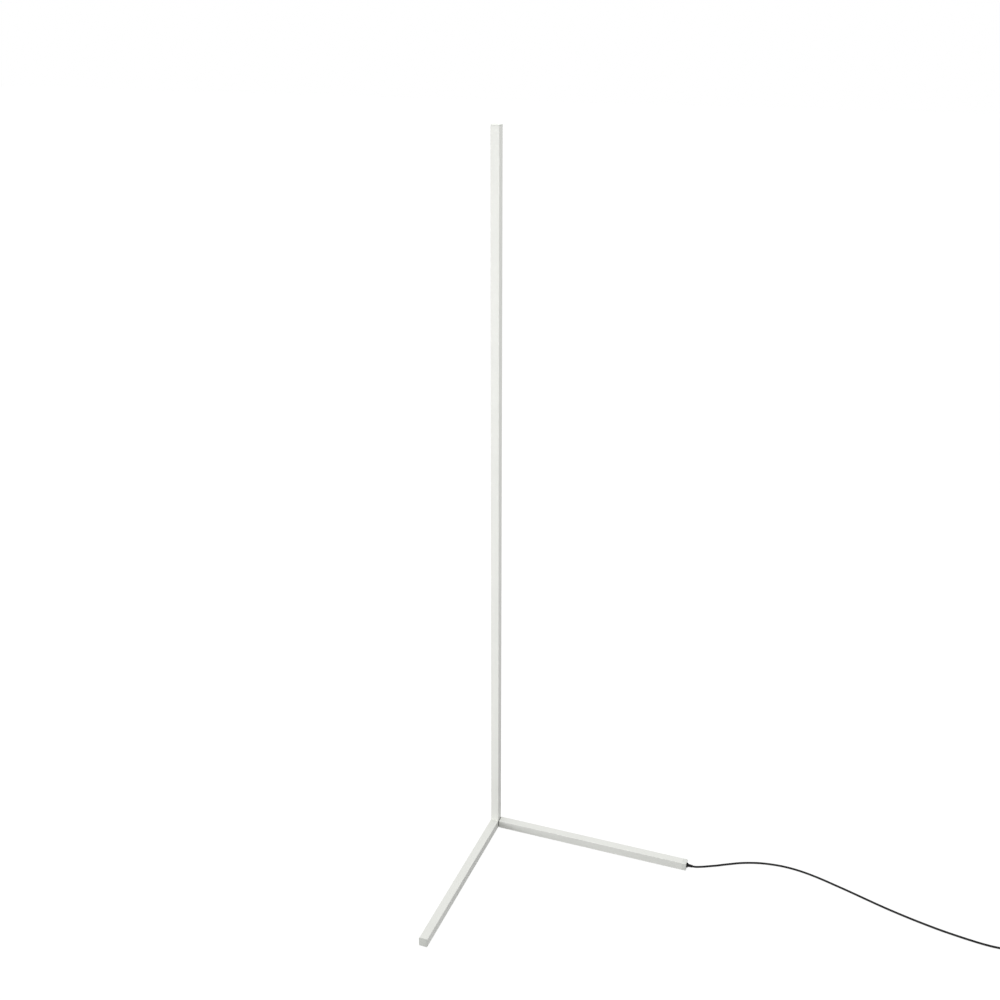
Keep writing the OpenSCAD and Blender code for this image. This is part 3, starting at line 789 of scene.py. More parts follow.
@dataclass(frozen=True)
class Copies:
    """A Geometry Nodes tree that repeats one unit, with its sizes as named inputs."""

    layout: Layout
    unit: Shape  # what is repeated, round its own origin
    spots: tuple[Spot, ...] = ()  # places and turns of the copies at points
    count: int = 1  # number of copies in a row
    first: Point = (0, 0, 0)  # place of the first of them
    step: Point = (0, 0, 0)  # from one of them to the next
    turn: Point = (0, 0, 0)  # turn of each of them, in degrees

    def tree(self) -> tuple[bpy.types.NodeTree, dict[str, str]]:
        """Builds the tree.

        Returns:
            The tree, and the identifier of each of its named inputs.
        """
        tree = bpy.data.node_groups.new(f"copies_{self.layout.value}", "GeometryNodeTree")
        tree.is_modifier = True
        kinds = {"Carrier": "Geometry", "Unit": "Object", "Count": "Int", "First": "Vector",
                 "Step": "Vector", "Turn": "Vector", "Finish": "Material"}
        new_socket, names = tree.interface.new_socket, {}
        for label, kind in kinds.items():
            socket = new_socket(name=label, in_out="INPUT", socket_type=f"NodeSocket{kind}")
            names[label] = socket.identifier
        new_socket(name="Geometry", in_out="OUTPUT", socket_type="NodeSocketGeometry")
        n = Nodes(tree)
        given = n.add("NodeGroupInput").outputs
        if self.layout is Layout.ROW:
            feeds = {"Count": given["Count"], "Start Location": given["First"], "Offset": given["Step"]}
            points, turns = n.out("GeometryNodeMeshLine", feeds, mode="OFFSET"), given["Turn"]
        else:
            turns = n.out("GeometryNodeInputNamedAttribute", {"Name": "turn"}, data_type="FLOAT_VECTOR")
            points = given["Carrier"]
        unit = n.add("GeometryNodeObjectInfo", {"Object": given["Unit"]}, transform_space="ORIGINAL")
        feeds = {"Points": points, "Instance": unit.outputs["Geometry"],
                 "Rotation": n.out("FunctionNodeEulerToRotation", {"Euler": turns})}
        real = n.out("GeometryNodeRealizeInstances", {0: n.out("GeometryNodeInstanceOnPoints", feeds)})
        painted = n.out("GeometryNodeSetMaterial", {"Geometry": real, "Material": given["Finish"]})
        n.add("NodeGroupOutput", {"Geometry": painted})
        return tree, names

    def piece(self, name: str, finish: Finish) -> Object:
        """Lays out the copies and keeps them as one plain mesh.

        Args:
            name: name of the piece.
            finish: its finish.

        Returns:
            The piece, at the origin.
        """
        source, mesh = self.unit.piece(f"{name}_unit"), bpy.data.meshes.new(f"{name}_carrier")
        mesh.from_pydata([Vector(at) * MM for at, _ in self.spots] or [(0, 0, 0)], [], [])
        turns = mesh.attributes.new("turn", "FLOAT_VECTOR", "POINT")
        for spot, (_, turn) in zip(turns.data, self.spots):
            spot.vector = [math.radians(a) for a in turn]
        carrier = in_scene(mesh.name, mesh)
        modifier = carrier.modifiers.new("copies", "NODES")
        tree, names = self.tree()
        modifier.node_group = tree
        values = {"Unit": source, "Count": self.count, "Finish": finish.make(),
                  "First": [x * MM for x in self.first], "Step": [x * MM for x in self.step],
                  "Turn": [math.radians(a) for a in self.turn]}
        for label, value in values.items():
            modifier[names[label]] = value
        bpy.context.view_layer.update()
        ready = bpy.context.evaluated_depsgraph_get()
        mesh = bpy.data.meshes.new_from_object(
            carrier.evaluated_get(ready), preserve_all_data_layers=True, depsgraph=ready)
        carrier.modifiers.clear()
        for spare in (carrier, source):
            bpy.data.objects.remove(spare)
        bpy.data.node_groups.remove(tree)
        mesh.name = name
        return finished(mesh, name, finish)


# ---------------------------------------------------------------- the lamp's sub-assemblies


@dataclass
class SubAssembly:
    """Pieces of the lamp that are built and dressed together."""

    made: list[Object] = field(default_factory=list, init=False)  # what is built so far

    def keep(
        self, name: str, form: Shape | Softened | Copies, finish: Finish, slot: str,
        *stands_for: str, body: str = STAND,
    ) -> Object:
        """Makes a piece and lets it ride on its body.

        Args:
            name: the piece's name.
            form: its form.
            finish: its finish.
            slot: the record's material slot, which is not used.
            stands_for: the CAD nodes that it replaces.
            body: the CAD body that it moves with.

        Returns:
            The piece.
        """
        piece = form.piece(name, finish)
        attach(piece, body)
        if stands_for:
            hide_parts(*stands_for)
        self.made.append(piece)
        return piece

    def dress(self, node: str, finish: Finish) -> None:
        """Gives a CAD node its material.

        Args:
            node: the CAD node, which keeps its shape.
            finish: its finish.
        """
        piece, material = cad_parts[node], finish.make()
        if not piece.material_slots:
            piece.data.materials.append(material)
        for slot in piece.material_slots:
            slot.material = material
        self.made.append(piece)

    def build(self) -> None:
        """Makes the pieces."""
        raise NotImplementedError


@dataclass
class LampFrame(SubAssembly):
    """The three painted bars with their caps and pads."""

    cap_edge: float = 0.45  # radius of the caps' edges
    pad: tuple[float, float, float] = (12.0, 1.0, 2.0)  # a pad's width, thickness and corner radius
    pad_spots: tuple[tuple[float, float], ...] = ((0, 0), (0, -357), (374.5, 0))

    def one_pad(self) -> Shape:
        """Shapes a pad.

        Returns:
            A soft-edged square whose underside has three grip rings.
        """
        width, high, corner = self.pad
        levels = [(0.3, high), (0.0, high - 0.2), (0.0, 0.3), (0.1, 0.08), (0.3, 0.0)]
        groove = ((0.0, 0.0), (0.2, 0.25), (0.7, 0.25), (0.9, 0.0))
        levels += [(inset + further, at) for inset in (1.2, 3.0) for further, at in groove]
        return skin(box_levels(width, width, corner, 5, levels, 0.7))

    def build(self) -> None:
        """Dresses the bars, rounds the caps' edges and makes the pads."""
        bars = {"left_leg_tube": LEG_PAINT, "right_leg_tube": LEG_PAINT, "upright_profile": PROFILE_PAINT}
        for node, finish in bars.items():
            self.dress(node, finish)
        # The left end cap's darker plastic is painted shade on its end face.
        caps = {"top_cap": TOP_PLASTIC, "left_end_cap": END_PLASTIC_PAINTED_SHADE, "outlet_cap": OUTLET_PLASTIC}
        for node, finish in caps.items():
            self.keep(f"{node}_piece", Softened(node, self.cap_edge), finish, "cap_plastic", node)
        spots = tuple(((x, y, 0.0), (0, 0, 0)) for x, y in self.pad_spots)
        pads = Copies(Layout.AT_POINTS, self.one_pad(), spots)
        self.keep("rubber_pads", pads, PAD_RUBBER, "pad_rubber", "floor_pads")


@dataclass
class CornerJoint(SubAssembly):
    """The joint of the bars: block, insert, spacer, two cap screws and two rivets."""

    head: tuple[float, float] = (7.0, 4.0)  # diameter and height of the screws' heads
    shank: tuple[float, float] = (4.0, 20.0)  # diameter of the screws, and length under their heads
    socket: float = 3.0  # width of the hexagon socket across its flats
    pitch: float = 0.7  # spacing of the threads' turns
    rivet_head: tuple[float, float] = (3.0, 0.7)  # radius and height of the rivets' heads
    rivet: tuple[float, float] = (1.5, 8.0)  # radius of the rivets, and length under their heads
    # Where the tops of the screws' heads are, and where the rivets' heads meet the legs.
    screw_spots: tuple[Spot, ...] = (((2.5, -2.5, 2.5), (0, 0, 12)), ((-6.5, 3.0, 9.0), (0, 90, 0)))
    rivet_spots: tuple[Spot, ...] = (((0, -15, 1.0), (0, 0, 0)), ((27.5, 0, 1.0), (0, 0, 90)))

    def one_screw(self) -> Shape:
        """Shapes a cap screw, with its socket, two grip bands and threads.

        Returns:
            The screw, along +Z from the top of its head.
        """
        (radius, neck), (crest, length) = (self.head[0] / 2, self.head[1]), (self.shank[0] / 2, self.shank[1])
        core, at, end, wide = crest - 0.25, neck + 1.0, neck + length, self.socket
        outline = [(0.0, radius - 0.5), (0.12, radius - 0.15)]
        outline += grooves(((0.5, radius), (2.0, radius)), ((0.0, 0.0), (1.1, 0.0), (1.25, 0.12)))
        outline += [(neck - 0.15, radius), (neck, radius - 0.15), (neck, crest), (at, crest)]
        while at + self.pitch < end - 0.5:
            turn = ((0.35, core), (0.5, core), (0.85, crest), (1.0, crest))
            outline += [(at + self.pitch * share, reach) for share, reach in turn]
            at += self.pitch
        outline.append((end, core - 0.3))
        socket = ((wide / 2, 2.0), (wide, 1.9), (wide, 0.12), (wide + 0.25, 0.0))
        return skin([*(hexagon(*ring) for ring in socket), *(circle(reach, at) for at, reach in outline)])

    def one_rivet(self) -> Shape:
        """Shapes a rivet.

        Returns:
            The rivet, along +Z, with its domed head below its origin.
        """
        (wide, high), (radius, length) = self.rivet_head, self.rivet
        dome = [(-high * math.cos(a), wide * math.sin(a)) for a in (0.08, 0.35, 0.65, 0.95, 1.25, QUARTER)]
        return turned([*dome, (0.0, radius), (length - 0.4, radius), (length, radius - 0.3)], count=32)

    def build(self) -> None:
        """Makes the screws and rivets, and rounds the edges of the rest."""
        for node, edge, finish, slot in (
            ("corner_block", 0.3, BLOCK_METAL, "block_metal"),
            ("leg_insert", 0.3, BLOCK_METAL, "block_metal"),
            ("joint_spacer", 0.25, SPACER_RUBBER, "spacer_rubber"),
        ):
            self.keep(f"{node}_piece", Softened(node, edge), finish, slot, node)
        screws = Copies(Layout.AT_POINTS, self.one_screw(), self.screw_spots)
        self.keep("cap_screws", screws, SCREW_STEEL, "screw_steel", "joint_screws")
        rivets = Copies(Layout.AT_POINTS, self.one_rivet(), self.rivet_spots)
        self.keep("domed_rivets", rivets, RIVET_METAL, "rivet_metal", "block_rivets")


@dataclass
class LightStrip(SubAssembly):
    """What shines to the walls: cover, board, chips, and the two wires to them."""

    count: int = 82  # number of chips
    chip: tuple[float, float, float] = (3.5, 2.8, 0.8)  # a chip's length, width and thickness
    seat: float = -0.5355  # distance of the board's seat from the upright's axis, along its facing
    facing: float = 135.0  # bearing of the board's face, in degrees
    board: float = 1.0  # thickness of the board
    wire: float = 0.6  # radius of a wire
    jacket_end: float = 374.5  # where the wires leave the lead's jacket, along X
    rise: float = -1.85  # where they turn up into the upright, along X
    level: float = 13.35  # their height in the leg

    def off_seat(self, out: float, side: float, height: float) -> Vector:
        """A point in front of the board: out from its seat, to one side, and at a height."""
        root = math.sqrt(2)
        return Vector((-(self.seat + out + side) / root, (self.seat + out - side) / root, height))

    def facing_out(self, *levels: tuple[float, float]) -> Shape:
        """A form on the plan of a chip from its levels, made facing +Z and turned to face +X."""
        turn = Matrix.Rotation(QUARTER, 4, "Y") @ Matrix.Rotation(QUARTER, 4, "Z")
        return skin(box_levels(self.chip[1], self.chip[0], 0.25, 2, levels)).placed(turn)

    def wire_route(self, beside: float) -> list[Vector]:
        """The middle line of one wire, from the lead's jacket to the board.

        Args:
            beside: its distance from the middle between the two wires.

        Returns:
            The line's points.
        """
        start, rise, level, y = self.jacket_end, self.rise, self.level, 3.0 + beside
        in_leg = (start - 25, start - 60, 40.0, 12.0, rise + 1.2)
        out = self.board + self.wire + 0.05
        return smooth_route([
            (start + 0.5, beside, 9.0), (start - 3, beside, 9.0), (start - 8, beside, 9.4),
            (start - 20, y, level - 0.4), *((x, y, level) for x in in_leg),
            (rise + 0.4, y, level + 0.4), (rise, y, level + 1.2), (rise, y, 18.0),
            self.off_seat(out, -beside, 27.0), self.off_seat(out, -beside, 31.0)], 5)

    def build(self) -> None:
        """Dresses the cover and the board, and makes the chips and wires."""
        self.dress("light_cover", OPAL)
        self.dress("light_board", STRIP_BOARD)
        high, sunk = self.chip[2], self.chip[2] - 0.14
        body = self.facing_out((0.0, 0.0), (0.0, high - 0.08), (0.08, high), (0.42, high), (0.5, sunk))
        lens = self.facing_out((0.5, sunk), (0.5, sunk + 0.03), (0.7, sunk + 0.07), (1.0, sunk + 0.1))
        row = Copies(Layout.ROW, body, count=self.count, first=self.off_seat(self.board, 0.0, CHIP_FIRST),
                     step=(0, 0, CHIP_PITCH), turn=(0, 0, self.facing))
        self.keep("chip_bodies", row, CHIP_BODY, "light_chip", "light_chips")
        self.keep("chip_lenses", replace(row, unit=lens), CHIP_LENS, "light_chip")
        for name, finish, beside, stands_for in (
            ("red_wire", RED_WIRE, -0.75, ("board_wires",)), ("grey_wire", GREY_WIRE, 0.75, ()),
        ):
            self.keep(name, swept(self.wire_route(beside), self.wire, 10), finish, "wire", *stands_for)
        heap = turned([(0.0, 0.95), (0.25, 0.9), (0.55, 0.62), (0.72, 0.3)], count=20)
        ends = tuple((self.off_seat(self.board, side, 31.4), (0, 90, self.facing)) for side in (-0.9, 0.9))
        self.keep("solder_dots", Copies(Layout.AT_POINTS, heap, ends), SOLDER, "circuit_board")


@dataclass
class Outlet(SubAssembly):
    """The lead's way out of the right leg: tapered relief, jacket inside, crimped ring."""

    face: float = 402.0  # place of the cap's outer face along X
    height: float = 9.0  # height of the lead's axis
    cap: float = 7.5  # thickness of the cap
    flange: tuple[float, float] = (4.75, 3.0)  # radius and thickness of the relief's outer flange
    neck: float = 3.2  # radius of its neck in the cap
    tail: float = 9.0  # length of its tapered tail
    tip: float = 2.5  # radius of the tail's thin end
    lead: float = 2.0  # radius of the lead
    crimp_at: float = 387.8  # where the ring begins along X
    jacket: tuple[float, ...] = (374.5, 380, 387, 394, 401, 408, 412.4)  # its points along X

    def relief(self) -> Shape:
        """Shapes the relief, with three flex grooves in its tail.

        Returns:
            The relief, along +Z from the cap's face.
        """
        bore, neck, (wide, thick), tip = self.lead + 0.05, self.neck, self.flange, self.tip
        root, inner, end = tip + 0.7, -self.cap, thick + self.tail
        places = (thick + 1.3 + 2.2 * k for k in range(3))
        starts = [(at, root - (root - tip) * (at - thick) / self.tail) for at in places]
        return turned([
            (inner - 1.6, bore), (inner - 1.6, neck), (inner - 0.1, neck + 0.9), (inner - 0.05, neck),
            (0.0, neck), (0.0, wide - 0.2), (0.2, wide), (thick - 1.1, wide), (thick - 0.75, wide - 0.12),
            (thick - 0.2, root + 0.75), (thick, root + 0.4), (thick + 0.15, root + 0.05),
            *grooves(starts, ((0.0, 0.0), (0.15, 0.35), (0.75, 0.35), (0.9, 0.03))),
            (end - 0.25, tip), (end, tip - 0.2), (end, bore)], loop=True)

    def crimp(self) -> Shape:
        """Shapes the crimped ring.

        Returns:
            A short sleeve along +Z, pressed to six flats in its middle.
        """
        bore, outer = self.lead + 0.05, self.lead + 1.2
        start = ((bore, 0.0), (outer - 0.15, 0.0), (outer, 0.15), (outer, 1.2))
        pressed = ((2 * outer - 0.45, 1.6), (2 * outer - 0.45, 3.4))
        end = ((outer, 3.8), (outer, 4.85), (outer - 0.15, 5.0), (bore, 5.0))
        sides = ((circle, start), (hexagon, pressed), (circle, end))
        return skin([ring(*level) for ring, levels in sides for level in levels], loop=True)

    def build(self) -> None:
        """Makes the relief, the ring and the jacket inside the leg."""
        relief = self.relief().pointing((1, 0, 0), self.face, 0, self.height)
        self.keep("tapered_relief", relief, RELIEF_VINYL, "relief_plastic", "strain_relief")
        ring = self.crimp().pointing((1, 0, 0), self.crimp_at, 0, self.height)
        self.keep("crimped_ring", ring, CRIMP_METAL, "crimp_metal", "crimp_ring")
        inside = swept([Vector((x, 0, self.height)) for x in self.jacket], self.lead)
        self.keep("lead_in_leg", inside, LEAD_JACKET, "lead_jacket", "inner_lead")


@dataclass
class InlineSwitch(SubAssembly):
    """The in-line switch on the lead: two shells, a dished push button and its inner pieces."""

    middle: tuple[float, float] = (1034.0, -22.0)  # place of its middle on the floor
    size: tuple[float, float, float] = (60.0, 24.0, 12.0)  # length, width and height
    seam: float = 6.0  # height at which the shells meet
    wall: float = 1.6  # thickness of the shells
    button: float = 5.5  # radius of the button
    button_top: float = 13.6  # height of the button's rim at rest
    grips: tuple[float, float] = (-19.5, 13.5)  # where each row of grip ribs begins, from the middle

    def levels(self, *levels: tuple[float, float]) -> list[Ring]:
        """The rings of a shell, from their insets and heights."""
        length, width, _ = self.size
        return [long_oval(length - 2 * inset, width - 2 * inset, at) for inset, at in levels]

    def cover(self) -> Shape:
        """Shapes the upper shell.

        Returns:
            A shell with a soft crowned edge, a ring round the button, and an open underside.
        """
        top, wall, seam = self.size[2], self.wall, self.seam
        outside = self.levels((0.4, seam), (0.4, seam + 0.22), (0.0, seam + 0.5), *soft_top(3.2, top, 6))
        button_ring = ((7.6, top), (7.3, top + 0.35), (6.7, top + 0.35), (6.2, top - 0.1),
                       (5.8, top - 0.3), (5.8, top - wall), (6.9, top - wall))
        inside = self.levels((wall + 2.2, top - wall), (wall + 0.6, top - wall - 0.9),
                             (wall, top - wall - 2.4), (wall, seam))
        return skin([*outside, *(circle(r, at, 120) for r, at in button_ring), *inside], loop=True)

    def base(self) -> Shape:
        """Shapes the lower shell.

        Returns:
            A shell with a soft lower edge and an open top.
        """
        soft, wall, seam = 1.6, self.wall, self.seam
        return skin(self.levels(
            (soft + 4, 0.0), *soft_foot(soft, 4), (0.0, seam - 0.5), (0.4, seam - 0.22), (0.4, seam),
            (wall, seam), (wall, wall + 0.5), (wall + 0.5, wall), (wall + 4, wall)))

    def push_button(self) -> Shape:
        """Shapes the button.

        Returns:
            A dished top inside a rounded rim, a flange that holds it in, and a stem.
        """
        top, radius = self.button_top, self.button
        return turned([
            (top - 0.55, 0.6), (top - 0.5, 2.2), (top - 0.3, 3.6), (top - 0.03, 4.6), (top, 4.9),
            (top - 0.1, 5.25), (top - 0.4, radius), (10.35, radius), (10.3, radius + 1.0),
            (9.4, radius + 1.0), (9.35, radius - 0.6), (9.35, 1.7), (8.2, 1.6)], count=64)

    def collar(self) -> Shape:
        """Shapes the short ribbed collar round the lead where it enters the shells.

        Returns:
            The collar, along +Z from the shells' end.
        """
        rings = grooves(((0.6 + 1.5 * k, 3.3 - 0.28 * k) for k in range(3)),
                        ((0.0, 0.0), (0.75, 0.1), (0.85, 0.5), (1.4, 0.55)))
        return turned([(-1.5, 2.05), (-1.5, 3.6), (0.0, 3.6), (0.3, 3.3), *rings,
                       (5.3, 2.45), (5.5, 2.3), (5.5, 2.05)], loop=True, count=36)

    def build(self) -> None:
        """Makes the switch."""
        (x, y), (length, _, top), case = self.middle, self.size, "case_plastic"
        for name, form, finish, slot, node, body in (
            ("switch_upper_shell", self.cover(), CASE_PLASTIC, case, "switch_cover", STAND),
            ("switch_lower_shell", self.base(), CASE_PLASTIC, case, "switch_base", STAND),
            ("push_button", self.push_button(), BUTTON_PLASTIC, "button_plastic", "switch_button", BUTTON),
        ):
            self.keep(name, form.placed(Matrix.Translation((x, y, 0.0))), finish, slot, node, body=body)
        ends = tuple(((x + s * length / 2, y, self.seam), (0, 90 * s, 0)) for s in (-1, 1))
        self.keep("switch_collars", Copies(Layout.AT_POINTS, self.collar(), ends), RELIEF_VINYL, case)
        rib = skin(box_levels(1.0, 9.0, 0.5, 4, ((0.0, -0.3), (0.0, 0.2), (0.12, 0.34), (0.3, 0.4))))
        for name, start in zip(("switch_grip_left", "switch_grip_right"), self.grips):
            row = Copies(Layout.ROW, rib, count=4, first=(x + start, y, top), step=(2.0, 0, 0))
            self.keep(name, row, CASE_PLASTIC, case)
        self.dress("switch_board", SWITCH_BOARD)
        self.dress("switch_screws", SCREW_STEEL)


@dataclass
class PlugAdapter(SubAssembly):
    """The plug-in adapter: two shells, side grips, sleeved pins, a board and a ribbed relief."""

    middle_x: float = 1128.0  # place of its middle along X
    cord_end: float = -101.0  # place of its cord end along Y; it reaches towards -Y
    size: tuple[float, float, float] = (40.0, 28.0, 60.0)  # width, height and length of the case
    front: float = 12.0  # length of the front shell
    corner: float = 4.0  # radius of the case's long edges
    wall: float = 2.0  # thickness of the case
    pin: float = 2.0  # radius of a pin
    pin_gap: float = 19.0  # distance between the pins
    pin_length: float = 19.0  # length of a pin outside the case

    def levels(self, *levels: tuple[float, float]) -> list[Ring]:
        """The rings of a shell, whose corners get smaller with the inset as far as 2.4.

        Args:
            levels: each ring's inset and height.

        Returns:
            The rings.
        """
        (width, high, _), most = self.size, 2.4
        return [round_box(width - 2 * inset, high - 2 * inset, self.corner - min(inset, most) * 0.8, at, 9)
                for inset, at in levels]

    def back_shell(self) -> Shape:
        """Shapes the shell at the cord end.

        Returns:
            A shell with a rounded end and a small step at the seam, open at the seam.
        """
        soft, wall, seam = 3.0, self.wall, self.size[2] - self.front
        return skin(self.levels(
            (soft + 5.5, 0.0), (soft + 2, 0.0), *soft_foot(soft, 5), (0.0, seam - 0.45),
            (0.35, seam - 0.2), (0.35, seam), (wall, seam), (wall, wall + 1.0), (wall + 1.0, wall),
            (soft + 5.5, wall)))

    def front_shell(self) -> Shape:
        """Shapes the shell at the pins.

        Returns:
            A shell with a step at the seam, and a shallow raised plate round the pins.
        """
        wall, seam, end = self.wall, self.size[2] - self.front, self.size[2]
        return skin(self.levels(
            (6.0, end - wall), (wall, end - wall), (wall, seam), (0.35, seam), (0.35, seam + 0.2),
            (0.0, seam + 0.45), *soft_top(1.6, end - 0.4, 4), (2.6, end - 0.4), (2.9, end), (6.0, end)))

    def one_pin(self) -> Shape:
        """Shapes a metal pin.

        Returns:
            The pin, along +Z from the case's face, with a round tip.
        """
        radius, tip = self.pin, self.pin_length - self.pin
        dome = [(tip + radius * math.sin(a), radius * math.cos(a)) for a in (0, 0.3, 0.6, 0.9, 1.2, 1.45)]
        return turned([(-5.0, radius - 0.2), (-4.8, radius), *dome], count=36)

    def sleeve(self) -> Shape:
        """Shapes the black sleeve round the root of a pin.

        Returns:
            The sleeve, along +Z like the pin.
        """
        bore, outer, root = self.pin - 0.1, self.pin + 0.03, self.pin + 0.28
        outline = ((-1.0, bore), (-1.0, root), (0.35, root), (0.6, outer), (9.7, outer), (9.9, bore))
        return turned(outline, loop=True, count=36)

    def relief(self) -> Shape:
        """Shapes the ribbed relief.

        Returns:
            The relief, along +Z from the case's cord end.
        """
        places = (2.6 + 2.1 * k for k in range(5))
        rings = grooves(((at, 3.6 - 1.1 * (at - 1.6) / 12.4) for at in places),
                        ((0.0, 0.0), (0.15, 0.5), (0.8, 0.5), (0.95, 0.06)))
        return turned([
            (-4.0, 2.05), (-4.0, 4.7), (-2.1, 4.8), (-2.0, 3.6), (0.0, 3.6), (0.0, 4.6), (0.2, 4.8),
            (1.4, 4.8), (1.6, 4.6), (1.6, 3.7), *rings, (13.8, 2.5), (14.0, 2.35), (14.0, 2.05),
        ], loop=True, count=40)

    def build(self) -> None:
        """Makes the adapter."""
        x, start, (width, high, length), case = self.middle_x, self.cord_end, self.size, "case_plastic"
        # The shells are made along +Z with +Y up, and turned so that they run from the cord end to -Y.
        turn = Matrix(((1, 0, 0), (0, 0, -1), (0, 1, 0))).to_4x4()
        where = Matrix.Translation((x, start, high / 2)) @ turn
        for form, side in ((self.back_shell(), "back"), (self.front_shell(), "front")):
            self.keep(f"adapter_{side}_shell", form.placed(where), CASE_PLASTIC, case, f"adapter_{side}")
        roots = tuple(((x + s * self.pin_gap / 2, start - length, high / 2), (90, 0, 0)) for s in (-1, 1))
        pins = Copies(Layout.AT_POINTS, self.one_pin(), roots)
        self.keep("plug_pins", pins, PIN_METAL, "pin_metal", "adapter_pins")
        self.keep("pin_sleeves", replace(pins, unit=self.sleeve()), CASE_PLASTIC, case)
        rib = skin(box_levels(1.2, 15.0, 0.6, 4, ((0.0, -0.4), (0.0, 0.15), (0.15, 0.32), (0.35, 0.4))))
        rib.placed(Matrix.Rotation(QUARTER, 4, "Z"))
        for name, side in (("adapter_grip_left", -1), ("adapter_grip_right", 1)):
            row = Copies(Layout.ROW, rib, count=7, first=(x + side * width / 2, start - 14, high / 2),
                         step=(0, -2.6, 0), turn=(0, 90 * side, 0))
            self.keep(name, row, CASE_PLASTIC, case)
        relief = self.relief().pointing((0, 1, 0), x, start, high / 2)
        self.keep("adapter_cord_relief", relief, RELIEF_VINYL, "relief_plastic", "adapter_relief")
        self.dress("adapter_board", ADAPTER_BOARD)


@dataclass
class CoilTie(SubAssembly):
    """The strap round the coil: a band with a second layer where its end overlaps."""

    middle: tuple[float, float, float] = (1104.0, -46.0, 6.8)  # the coil's, at half its height
    mid_radius: float = 20.0  # radius of the coil's middle turns
    section: float = 12.2  # width and height of the coil's turns together
    width: float = 10.0  # width of the strap
    thick: float = 0.7  # thickness of the strap

    def loop(self, grown: float, share: float) -> Ring:
        """The strap's path round the coil's section.

        Args:
            grown: how far it stands off the turns.
            share: how far across the strap it is, -1 to 1.

        Returns:
            The ring, in the lamp's frame.
        """
        size, bearing = self.section + 2 * grown, -QUARTER + share * self.width / 2 / self.mid_radius
        out, middle = Vector((math.cos(bearing), math.sin(bearing), 0.0)), Vector(self.middle)
        ring = round_box(size, size, 2.0 + grown, 0.0, 8)
        return [middle + out * (self.mid_radius + p.x) + Vector((0, 0, p.y)) for p in ring]

    def strap(self) -> Shape:
        """Shapes the closed band.

        Returns:
            The band, with thinner edges.
        """
        drops = {-1: 0.25, -0.95: 0.06, -0.6: 0, -0.2: 0, 0.2: 0, 0.6: 0, 0.95: 0.06, 1: 0.25}
        outer = [self.loop(self.thick - drop, share) for share, drop in drops.items()]
        return skin([*outer, *(self.loop(0.0, share) for share in reversed(drops))], loop=True)

    def tab(self) -> Shape:
        """Shapes the strap's free end.

        Returns:
            The end, which lies over the first layer on the coil's outer side and top.
        """
        rings, narrower = [], 0.96
        for share in (-1, -0.9, -0.5, 0, 0.5, 0.9, 1):
            top = self.loop(self.thick + (0.62 if abs(share) < 1 else 0.4), share * narrower)
            low = self.loop(self.thick - 0.05, share * narrower)
            rings.append([*top[7:24], *reversed(low[7:24])])
        return skin(rings)

    def build(self) -> None:
        """Makes the strap."""
        self.keep("strap_loop", self.strap(), TIE_STRAP, "tie_plastic", "coil_tie")
        self.keep("strap_end", self.tab(), TIE_STRAP, "tie_plastic")


